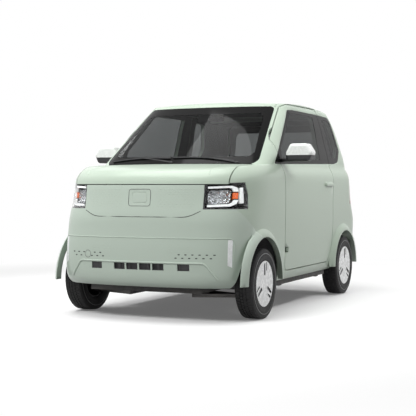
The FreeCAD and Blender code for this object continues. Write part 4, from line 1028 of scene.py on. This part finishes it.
class CAR_OT_build_wipers(bpy.types.Operator):
    """Lay two wipers along the foot of the windscreen"""
    bl_idname = "car.build_wipers"
    bl_label = "Build Wipers"

    def execute(self, context):
        look = context.scene.car_wiper
        glass = surface_of("windscreen")
        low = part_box("windscreen")[0].z
        parked = (
            ("right", (-0.56, 0.016), (-0.05, 0.040), (-0.02, 0.006)),
            ("left", (-0.03, 0.044), (0.47, 0.016), (0.50, 0.004)),
        )
        for side, first, second, pivot in parked:
            bm = bmesh.new()
            path = [self.on_glass(glass, first, second, step/12, low, look.blade_height*0.7)
                    for step in range(13)]
            add_bar(bm, path, look.blade_width, look.blade_height, (0, -1, 0.6))
            start = self.on_glass(glass, pivot, pivot, 0, low, look.lift*0.6)
            middle = self.on_glass(glass, first, second, 0.5, low, look.lift)
            arm = [start, start.lerp(middle, 0.35)+Vector((0, -0.006, 0.004)),
                   start.lerp(middle, 0.7)+Vector((0, -0.004, 0.003)), middle]
            add_bar(bm, arm, look.arm_width, look.arm_width*0.5, (0, -1, 0.6), 0.6)
            self.add_hub(bm, start, look.arm_width)
            finished_mesh("wiper_"+side, bm, "rubber", "root")
        return {"FINISHED"}

    def on_glass(self, glass, first, second, turn, low, lift):
        """A point over the glass, part of the way from one place to another."""
        x = first[0]+(second[0]-first[0])*turn
        z = low+first[1]+(second[1]-first[1])*turn+0.012*math.sin(math.pi*turn)
        place, normal = from_ahead(glass, x, z)
        return place+normal*lift

    def add_hub(self, bm, place, width):
        made = bmesh.ops.create_cone(bm, cap_ends=True, segments=20, radius1=width*1.1,
                                     radius2=width*0.8, depth=width)
        bmesh.ops.transform(bm, matrix=facing(place, (0, -0.6, 1)), verts=made["verts"])


class CAR_OT_build_front(bpy.types.Operator):
    """Emboss the front's dashes, seal its panel and frame the badge place and grille"""
    bl_idname = "car.build_front"
    bl_label = "Build Front"

    def execute(self, context):
        look = context.scene.car_front
        panel = surface_of("front_panel")
        bumper = surface_of("front_bumper")
        bm = bmesh.new()
        self.emboss(bm, panel, look, look.panel_inner, look.panel_outer, look.panel_low,
                    look.panel_rows)
        finished_mesh("panel_dashes", bm, "bumper_paint", "root")
        bm = bmesh.new()
        self.emboss(bm, bumper, look, look.bumper_inner, look.bumper_outer, look.bumper_low,
                    look.bumper_rows)
        finished_mesh("bumper_dashes", bm, "bumper_paint", "root")
        self.seal_panel(panel, look)
        self.frame_badge(panel, look)
        self.edge_grille(bumper, look)
        return {"FINISHED"}

    def laid(self, surface, points, probe):
        """Points drawn in x and z, laid on a surface that is met a little to one side."""
        path = []
        for x, z in points:
            place, normal = from_ahead(surface, x, z+probe)
            path.append(Vector((x, place.y, z)))
        return path

    def seal_panel(self, panel, look):
        """The dark seam under the front panel."""
        low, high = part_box("front_panel")
        side, foot = high.x, low.z
        corner = side-look.seam_step
        outline = rounded_path(((-side, foot+look.seam_rise), (-corner, foot), (corner, foot),
                                (side, foot+look.seam_rise)), look.seam_turn)
        points = []
        for first, second in zip(outline, outline[1:]):
            points += [first.lerp(second, step/4) for step in range(4)]
        points.append(outline[-1])
        points = [(point.x, point.y) for point in points if abs(point.x) < side-0.004]
        bm = bmesh.new()
        add_tube(bm, self.laid(panel, points, look.seam_radius*2.5), look.seam_radius)
        finished_mesh("panel_seam", bm, "rubber", "root")

    def frame_badge(self, panel, look):
        """A plain rounded ring round the bare badge place."""
        half, rise = look.badge_width/2, look.badge_height/2
        middle = look.badge_z
        corners = ((0, rise), (half, rise), (half, -rise), (-half, -rise), (-half, rise), (0, rise))
        outline = rounded_path(corners, look.badge_turn)[:-1]
        points = [(point.x, middle+point.y) for point in outline]
        bm = bmesh.new()
        add_tube(bm, self.laid(panel, points, 0), look.badge_line, closed=True)
        finished_mesh("badge_ring", bm, "badge_line", "root")

    def edge_grille(self, bumper, look):
        """The bright rounded edge along the top of the grille's frame."""
        outline = rounded_path((
            (-look.grille_foot, look.grille_low), (-look.grille_top, look.grille_high),
            (look.grille_top, look.grille_high), (look.grille_foot, look.grille_low)),
            look.grille_turn)
        points = stepped(outline)+[outline[-1]]
        bm = bmesh.new()
        path = self.laid(bumper, [(point.x, point.y) for point in points], 0)
        add_tube(bm, path, look.grille_edge)
        finished_mesh("grille_frame_edge", bm, "bumper_paint", "root")

    def emboss(self, bm, surface, look, inner, outer, low, rows):
        """Staggered rows of short raised dashes on both sides of the middle."""
        for row in range(rows):
            count = int((outer-inner)/look.dash_pitch)
            for column in range(count):
                x = inner+(column+0.5*(row % 2))*look.dash_pitch
                for hand in (1, -1):
                    place, normal = from_ahead(surface, hand*x, low+row*look.dash_row)
                    if normal.y > -0.5:
                        continue
                    made = bmesh.ops.create_uvsphere(bm, u_segments=8, v_segments=4, radius=0.5)
                    size = Matrix.Diagonal((look.dash_length, look.dash_width,
                                            look.dash_height*2, 1))
                    bmesh.ops.transform(bm, matrix=facing(place, normal) @ size,
                                        verts=made["verts"])


class CAR_OT_build_lamps(bpy.types.Operator):
    """Fit the lamps' lights, white strips of painted highlight, slots, grille bars and bonnet
    creases
    """
    bl_idname = "car.build_lamps"
    bl_label = "Build Lamps"

    def execute(self, context):
        look = context.scene.car_lamp
        lens = surface_of("headlamp_lenses")
        bumper = surface_of("front_bumper")
        for side, hand in SIDES:
            self.fill_lamp(lens, look, side, hand)
            bm = bmesh.new()
            # White strips in the bumper, standing for light on body-coloured slots: painted
            # highlight.
            add_sheet(bm, on_side(PAINTED_HIGHLIGHT_STRIP, hand), bumper, -look.strip_raise,
                      look.strip_depth)
            finished_mesh("daytime_strip_"+side, bm, "lamp_and_highlight_white", "root")
        self.set_bars(bumper, look)
        self.set_slots(bumper, look)
        self.edge_recess(bumper, look)
        self.crease_bonnet(look)
        return {"FINISHED"}

    def fill_lamp(self, lens, look, side, hand):
        """Two hooked light guides, an upright one, the indicator and the reflector."""
        bm = bmesh.new()
        for outline in (UPPER_LIGHT, LOWER_LIGHT, UPRIGHT_LIGHT):
            add_sheet(bm, on_side(outline, hand), lens, look.light_sunk, look.light_depth)
        finished_mesh("lamp_lights_"+side, bm, "lamp_and_highlight_white", "root")
        bm = bmesh.new()
        add_sheet(bm, on_side(AMBER_BLOCK, hand), lens, look.amber_sunk, look.light_depth)
        finished_mesh("lamp_indicator_"+side, bm, "amber_lamp", "root")
        bm = bmesh.new()
        add_sheet(bm, on_side(REFLECTOR_PLATE, hand), lens, look.reflector_sunk,
                  look.reflector_depth)
        finished_mesh("lamp_reflector_"+side, bm, "reflector", "root")

    def set_bars(self, bumper, look):
        """Painted bars that part the lower grille into three cells a side."""
        bm = bmesh.new()
        for start, end in GRILLE_BARS:
            outline = ((start, look.bar_low), (end, look.bar_low), (end, look.bar_high),
                       (start, look.bar_high))
            add_sheet(bm, outline, bumper, -look.bar_raise, look.bar_depth, spread=1.7)
        finished_mesh("grille_bars", bm, "bumper_paint", "root")

    def set_slots(self, bumper, look):
        """Two rows of small dark slots a side, and the towing cover's round groove."""
        bm = bmesh.new()
        half, rise = look.slot_width/2, look.slot_height/2
        for row, (first, z) in enumerate(SLOT_ROWS):
            for index in range(look.slots):
                for hand in (1, -1):
                    if hand < 0 and index == look.slots//2-1+row:
                        continue
                    x = hand*(first+index*look.slot_pitch)
                    outline = ((x-half, z-rise), (x+half, z-rise), (x+half, z+rise),
                               (x-half, z+rise))
                    add_sheet(bm, outline, bumper, -look.slot_raise, look.slot_raise*4)
        finished_mesh("bumper_slots", bm, "rubber", "root")
        bm = bmesh.new()
        path = []
        for step in range(32):
            turn = math.tau*step/32
            x = -look.towing_x+look.towing_radius*math.cos(turn)
            z = look.towing_z+look.towing_radius*math.sin(turn)
            path.append(from_ahead(bumper, x, z)[0])
        add_tube(bm, path, look.towing_line, closed=True)
        finished_mesh("towing_cover_line", bm, "badge_line", "root")

    def edge_recess(self, bumper, look):
        """The bead round the bumper's flat middle."""
        outline = rounded_path(RECESS_EDGE, look.recess_turn)
        path = [from_ahead(bumper, point.x, point.y)[0] for point in stepped(outline)]
        bm = bmesh.new()
        add_tube(bm, path, look.recess_edge)
        finished_mesh("recess_edge", bm, "bumper_paint", "root")

    def crease_bonnet(self, look):
        """The two soft creases that run back over the bonnet."""
        bonnet = surface_of("bonnet")
        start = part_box("bonnet")[0].y+look.ridge_start
        bm = bmesh.new()
        for hand in (1, -1):
            path = []
            for step in range(17):
                turn = step/16
                x = hand*(look.ridge_front+(look.ridge_rear-look.ridge_front)*turn)
                y = start+look.ridge_length*turn
                place, normal = met_from(bonnet, (x, y, FAR), (0, 0, -1))
                path.append(place-normal*look.ridge_edge*0.3)
            add_tube(bm, path, look.ridge_edge)
        finished_mesh("bonnet_creases", bm, "paint", "bonnet")


class CAR_OT_build_mirrors(bpy.types.Operator):
    """Give the door mirrors a pale cap, a black foot and their glass"""
    bl_idname = "car.build_mirrors"
    bl_label = "Build Mirrors"

    def execute(self, context):
        look = context.scene.car_mirror
        body = context.scene.car_body
        for side, hand in SIDES:
            node = "mirror_"+side
            bm = welded_mesh(node, body.weld)
            cut_through(bm, (0, 0, look.cap_foot), (0, 0, 1))
            for face in bm.faces:
                face.material_index = int(face.calc_center_median().z < look.cap_foot)
            dressed_copy(node, bm, ("mirror_shell", "black_plastic"), body.crease_angle)
            low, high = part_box(node)
            inner = min(abs(low.x), abs(high.x))
            outer = max(abs(low.x), abs(high.x))
            bm = bmesh.new()
            place = Vector((hand*(inner+outer)/2, high.y, high.z-look.drop))
            add_plate(bm, look.width, look.height, look.depth, look.corner,
                      facing(place, (0, 1, 0)))
            finished_mesh("mirror_glass_"+side, bm, "mirror_glass", "door_"+side)
        return {"FINISHED"}


class CAR_OT_build_rear(bpy.types.Operator):
    """Add the reflectors, the tail lights and the button at the rear"""
    bl_idname = "car.build_rear"
    bl_label = "Build Rear"

    def execute(self, context):
        look = context.scene.car_rear
        bumper = surface_of("rear_bumper")
        gate = surface_of("tailgate")
        for side, hand in SIDES:
            bm = bmesh.new()
            place, normal = from_behind(bumper, hand*look.reflector_x, look.reflector_z)
            add_plate(bm, look.reflector_width, look.reflector_height, look.reflector_depth,
                      look.reflector_height*0.4, facing(place-normal*look.plate_sunk, normal))
            finished_mesh("rear_reflector_"+side, bm, "red_lamp", "root")
            self.fit_lights(side, hand, look)
        bm = bmesh.new()
        place, normal = from_behind(gate, 0, look.button_z)
        add_plate(bm, look.button_width, look.button_height, look.reflector_depth,
                  look.button_height*0.45, facing(place-normal*look.plate_sunk, normal))
        finished_mesh("gate_button", bm, "black_plastic", "tailgate")
        return {"FINISHED"}

    def fit_lights(self, side, hand, look):
        """The amber, stop and reversing lights behind the tail lamp's red cover."""
        lamp = surface_of("tail_lamps")
        rows = (("amber", "amber_lamp", look.light_top), ("stop", "stop_light", look.light_middle),
                ("reverse", "lamp_and_highlight_white", look.light_low))
        for name, material, z in rows:
            bm = bmesh.new()
            place, normal = from_behind(lamp, hand*look.light_x, z)
            add_plate(bm, look.light_width, look.light_height, look.light_depth,
                      look.light_height*0.3, facing(place-normal*look.light_sunk, normal))
            finished_mesh("tail_%s_%s" % (name, side), bm, material, "root")


class CAR_OT_build_cabin(bpy.types.Operator):
    """Fit the displays, the air outlets and the armrests"""
    bl_idname = "car.build_cabin"
    bl_label = "Build Cabin"

    def execute(self, context):
        look = context.scene.car_cabin
        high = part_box("dashboard")[1]
        rim_low, rim_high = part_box("steering_wheel")
        driver_x = (rim_low.x+rim_high.x)/2
        face_y = high.y
        top = high.z
        bm = bmesh.new()
        place = Vector((driver_x, face_y-look.display_back, top+look.display_height*0.3))
        add_plate(bm, look.display_width, look.display_height, look.display_depth,
                  look.display_corner, facing(place, (0, 1, 0.25)))
        finished_mesh("instrument_display", bm, "display", "root")
        bm = bmesh.new()
        place = Vector((0, face_y-look.display_back, top+look.display_height*0.25))
        add_plate(bm, look.display_width*0.9, look.display_height*1.25, look.display_depth,
                  look.display_corner, facing(place, (0, 1, 0.2)))
        finished_mesh("centre_display", bm, "display", "root")
        self.fit_vents(look, face_y, top)
        self.fit_armrests(look)
        return {"FINISHED"}

    def fit_vents(self, look, face_y, top):
        """Round-cornered air outlets with slats, in a row on the dashboard."""
        surface = surface_of("dashboard")
        bm = bmesh.new()
        for x in look.vent_places:
            for place_x in (x, -x):
                start = (place_x, face_y+1.0, top-look.vent_drop)
                place, normal = met_from(surface, start, (0, -1, 0))
                add_plate(bm, look.vent_width, look.vent_height, look.vent_depth,
                          look.vent_corner, facing(place-normal*0.001, normal))
                for slat in range(look.slats):
                    shift = (slat-(look.slats-1)/2)*look.vent_height*0.2
                    turn = facing(place+normal*0.005, normal) @ Matrix.Translation((0, shift, 0))
                    made = bmesh.ops.create_cube(bm, size=1.0)
                    size = Matrix.Diagonal((look.vent_width*0.86, look.slat_height,
                                            look.slat_depth, 1))
                    bmesh.ops.transform(bm, matrix=turn @ size, verts=made["verts"])
        finished_mesh("air_outlets", bm, "black_plastic", "root")

    def fit_armrests(self, look):
        """A padded rest on each door's inner side."""
        for side, hand in SIDES:
            surface = surface_of("door_"+side)
            start = (0, look.armrest_y, look.armrest_z)
            place, normal = met_from(surface, start, (hand, 0, 0))
            bm = bmesh.new()
            turn = facing(place-normal*0.004, (-hand, 0, 0))
            add_plate(bm, look.armrest_length, look.armrest_height, look.armrest_depth,
                      look.armrest_height*0.45, turn)
            finished_mesh("door_armrest_"+side, bm, "lining", "door_"+side)


class CAR_OT_build_seats(bpy.types.Operator):
    """Blow up the seats' cloth and sew its seams"""
    bl_idname = "car.build_seats"
    bl_label = "Build Seats"

    def execute(self, context):
        look = context.scene.car_seat
        for node, slot in SLOT_OF_NODE.items():
            if slot != "seat":
                continue
            mesh = self.even_mesh(context, node, look)
            mesh = self.swell(context, mesh, look)
            self.sew(node, mesh, look)
            mesh.name = node+"_cloth"
            mesh.materials.clear()
            mesh.materials.append(MATERIALS["seat"])
            shade(mesh, math.radians(60))
            piece = bpy.data.objects.new(node+"_cloth", mesh)
            context.scene.collection.objects.link(piece)
            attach(piece, BODY_OF_NODE[node])
            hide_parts(node)
        return {"FINISHED"}

    def evaluated(self, context, piece):
        """The mesh of a piece with its modifiers applied; the piece goes."""
        context.view_layer.update()
        graph = context.evaluated_depsgraph_get()
        mesh = bpy.data.meshes.new_from_object(piece.evaluated_get(graph))
        bpy.data.objects.remove(piece)
        return mesh

    def even_mesh(self, context, node, look):
        """The node's solid, drawn in a little and with even faces."""
        bm = welded_mesh(node, context.scene.car_body.weld)
        mesh = bpy.data.meshes.new("seat_form")
        bm.to_mesh(mesh)
        bm.free()
        piece = bpy.data.objects.new("seat_form", mesh)
        context.scene.collection.objects.link(piece)
        even = piece.modifiers.new("even_faces", "REMESH")
        even.mode = "VOXEL"
        even.voxel_size = look.voxel
        relaxed = piece.modifiers.new("relaxed", "SMOOTH")
        relaxed.factor = 0.5
        relaxed.iterations = 4
        mesh = self.evaluated(context, piece)
        for vert, normal in zip(mesh.vertices, [Vector(n.vector) for n in mesh.vertex_normals]):
            vert.co -= normal*look.draw_in
        return mesh

    def swell(self, context, mesh, look):
        """Presses the cloth outwards from inside, no further than the cap."""
        start = [vert.co.copy() for vert in mesh.vertices]
        piece = bpy.data.objects.new("seat_cloth", mesh)
        context.scene.collection.objects.link(piece)
        cloth = piece.modifiers.new("swell", "CLOTH")
        cloth.settings.use_pressure = True
        cloth.settings.uniform_pressure_force = look.pressure
        cloth.settings.effector_weights.gravity = 0.0
        cloth.settings.quality = 4
        cloth.point_cache.frame_start = 1
        cloth.point_cache.frame_end = look.frames
        for frame_number in range(1, look.frames+1):
            context.scene.frame_set(frame_number)
        swollen = self.evaluated(context, piece)
        context.scene.frame_set(1)
        for vert, place in zip(swollen.vertices, start):
            shift = vert.co-place
            if shift.length > look.cap:
                vert.co = place+shift.normalized()*look.cap
        return swollen

    def sew(self, node, mesh, look):
        """Presses the seams' lines into the cloth."""
        single = node == "rear_seat"
        seat_x = 0.0 if single else look.seat_x
        normals = [Vector(n.vector) for n in mesh.vertex_normals]
        for vert, normal in zip(mesh.vertices, normals):
            side = abs(abs(vert.co.x)-seat_x)
            seams = [side-look.seam_x]
            if single:
                seams = [side-look.seam_x*0.1, side-look.seam_x*2.1]
            if side < look.seam_x or single:
                rise = vert.co.y if node == "front_seat_cushions" else vert.co.z
                seams.append((rise-look.channel/2) % look.channel-look.channel/2)
            depth = max(math.exp(-(distance/look.seam_width)**2) for distance in seams)
            vert.co -= normal*look.seam_depth*depth


# The studio

class CAR_OT_build_stage(bpy.types.Operator):
    """Lay the floor, light the car and set the camera"""
    bl_idname = "car.build_stage"
    bl_label = "Build Stage"

    def execute(self, context):
        look = context.scene.car_stage
        context.scene.view_settings.view_transform = "Standard"
        self.lay_floor(look)
        self.set_world(context, look)
        for name, power, size, place, aim, mirrored in STUDIO_LAMPS:
            self.hang_lamp(name, getattr(look, power), size, place, aim, mirrored)
        self.set_camera(context, look)
        return {"FINISHED"}

    def lay_floor(self, look):
        """A floor that is seen pale, keeps the shadow and turns white far off."""
        bm = bmesh.new()
        bmesh.ops.create_grid(bm, x_segments=2, y_segments=2, size=look.floor_size/2)
        mesh = bpy.data.meshes.new("studio_floor")
        bm.to_mesh(mesh)
        bm.free()
        floor = bpy.data.objects.new("studio_floor", mesh)
        bpy.context.scene.collection.objects.link(floor)
        material, tree, shader = new_material("pale_studio_floor")
        seen = self.seen_directly(tree)
        place = tree.nodes.new("ShaderNodeTexCoord")
        reach = tree.nodes.new("ShaderNodeVectorMath")
        fade = tree.nodes.new("ShaderNodeMapRange")
        glow = tree.nodes.new("ShaderNodeMath")
        tone = tree.nodes.new("ShaderNodeMix")
        reach.operation = "LENGTH"
        fade.interpolation_type = "SMOOTHSTEP"
        fade.inputs["From Min"].default_value = look.fade_start
        fade.inputs["From Max"].default_value = look.fade_end
        fade.inputs["To Min"].default_value = look.glow_near
        glow.operation = "MULTIPLY"
        tone.data_type = "RGBA"
        tone.inputs["A"].default_value = (*look.pale_floor, 1)
        tone.inputs["B"].default_value = (0, 0, 0, 1)
        bounce = tree.nodes.new("ShaderNodeMix")
        bounce.data_type = "RGBA"
        bounce.inputs["A"].default_value = (*look.floor, 1)
        tree.links.new(place.outputs["Object"], reach.inputs[0])
        tree.links.new(reach.outputs["Value"], fade.inputs["Value"])
        tree.links.new(fade.outputs["Result"], glow.inputs[0])
        tree.links.new(seen, glow.inputs[1])
        tree.links.new(fade.outputs["Result"], tone.inputs["Factor"])
        tree.links.new(seen, bounce.inputs["Factor"])
        tree.links.new(tone.outputs["Result"], bounce.inputs["B"])
        tree.links.new(bounce.outputs["Result"], shader.inputs["Base Color"])
        tree.links.new(glow.outputs["Value"], shader.inputs["Emission Strength"])
        shader.inputs["Emission Color"].default_value = (1, 1, 1, 1)
        shader.inputs["Roughness"].default_value = 0.9
        shader.inputs["Specular IOR Level"].default_value = 0.0
        mesh.materials.append(material)

    def set_world(self, context, look):
        """Dim light from all round, which is seen as white."""
        world = bpy.data.worlds.new("studio_world")
        context.scene.world = world
        world.use_nodes = True
        tree = world.node_tree
        background = tree.nodes["Background"]
        strength = tree.nodes.new("ShaderNodeMapRange")
        tree.links.new(self.seen_directly(tree), strength.inputs["Value"])
        strength.inputs["To Min"].default_value = look.sky_strength
        strength.inputs["To Max"].default_value = 1.0
        background.inputs["Color"].default_value = (1, 1, 1, 1)
        tree.links.new(strength.outputs["Result"], background.inputs["Strength"])

    def seen_directly(self, tree):
        """One for rays from the camera, off gloss or through glass."""
        path = tree.nodes.new("ShaderNodeLightPath")
        result = path.outputs["Is Camera Ray"]
        for name in ("Is Glossy Ray", "Is Transmission Ray"):
            either = tree.nodes.new("ShaderNodeMath")
            either.operation = "MAXIMUM"
            tree.links.new(result, either.inputs[0])
            tree.links.new(path.outputs[name], either.inputs[1])
            result = either.outputs["Value"]
        return result

    def hang_lamp(self, name, power, size, place, aim, mirrored):
        """An area lamp that looks at a point."""
        data = bpy.data.lights.new(name, "AREA")
        data.shape = "RECTANGLE"
        data.size, data.size_y = size
        data.energy = power
        lamp = bpy.data.objects.new(name, data)
        bpy.context.scene.collection.objects.link(lamp)
        lamp.location = place
        lamp.visible_glossy = mirrored
        lamp.rotation_euler = (Vector(aim)-Vector(place)).to_track_quat("-Z", "Y").to_euler()

    def set_camera(self, context, look):
        """The camera at the photograph's angle."""
        data = bpy.data.cameras.new("studio_camera")
        data.lens = look.focal_length
        data.sensor_width = 36.0
        camera = bpy.data.objects.new("studio_camera", data)
        context.scene.collection.objects.link(camera)
        camera.location = look.camera_place
        level = math.cos(look.elevation)
        back = Vector((math.sin(look.azimuth)*level, -math.cos(look.azimuth)*level,
                       math.sin(look.elevation)))
        camera.rotation_mode = "QUATERNION"
        camera.rotation_quaternion = (-back).to_track_quat("-Z", "Y")
        context.scene.camera = camera


# The panel in the sidebar and the run as a script

class CAR_PT_finisher(bpy.types.Panel):
    """Buttons for all the steps"""
    bl_idname = "CAR_PT_finisher"
    bl_label = "Microcar"
    bl_space_type = "VIEW_3D"
    bl_region_type = "UI"
    bl_category = "Microcar"

    def draw(self, context):
        for operator in OPERATORS:
            self.layout.operator(operator.bl_idname)


OPERATORS = (
    CAR_OT_finish_panels,
    CAR_OT_build_glass,
    CAR_OT_build_wheels,
    CAR_OT_build_tyres,
    CAR_OT_build_wipers,
    CAR_OT_build_front,
    CAR_OT_build_lamps,
    CAR_OT_build_mirrors,
    CAR_OT_build_rear,
    CAR_OT_build_cabin,
    CAR_OT_build_seats,
    CAR_OT_build_stage,
)
LOOKS = (
    ("car_body", BodyLook),
    ("car_glass", GlassLook),
    ("car_wiper", WiperLook),
    ("car_wheel", WheelLook),
    ("car_tyre", TyreLook),
    ("car_front", FrontLook),
    ("car_lamp", LampLook),
    ("car_mirror", MirrorLook),
    ("car_rear", RearLook),
    ("car_cabin", CabinLook),
    ("car_seat", SeatLook),
    ("car_stage", StageLook),
)


def register():
    for name, look in LOOKS:
        bpy.utils.register_class(look)
        setattr(bpy.types.Scene, name, bpy.props.PointerProperty(type=look))
    for operator in OPERATORS:
        bpy.utils.register_class(operator)
    bpy.utils.register_class(CAR_PT_finisher)


def unregister():
    bpy.utils.unregister_class(CAR_PT_finisher)
    for operator in reversed(OPERATORS):
        bpy.utils.unregister_class(operator)
    for name, look in reversed(LOOKS):
        delattr(bpy.types.Scene, name)
        bpy.utils.unregister_class(look)


def main():
    register()
    bpy.ops.car.finish_panels()
    bpy.ops.car.build_glass()
    bpy.ops.car.build_wheels()
    bpy.ops.car.build_tyres()
    bpy.ops.car.build_wipers()
    bpy.ops.car.build_front()
    bpy.ops.car.build_lamps()
    bpy.ops.car.build_mirrors()
    bpy.ops.car.build_rear()
    bpy.ops.car.build_cabin()
    bpy.ops.car.build_seats()
    bpy.ops.car.build_stage()


if __name__ == "__main__":
    main()
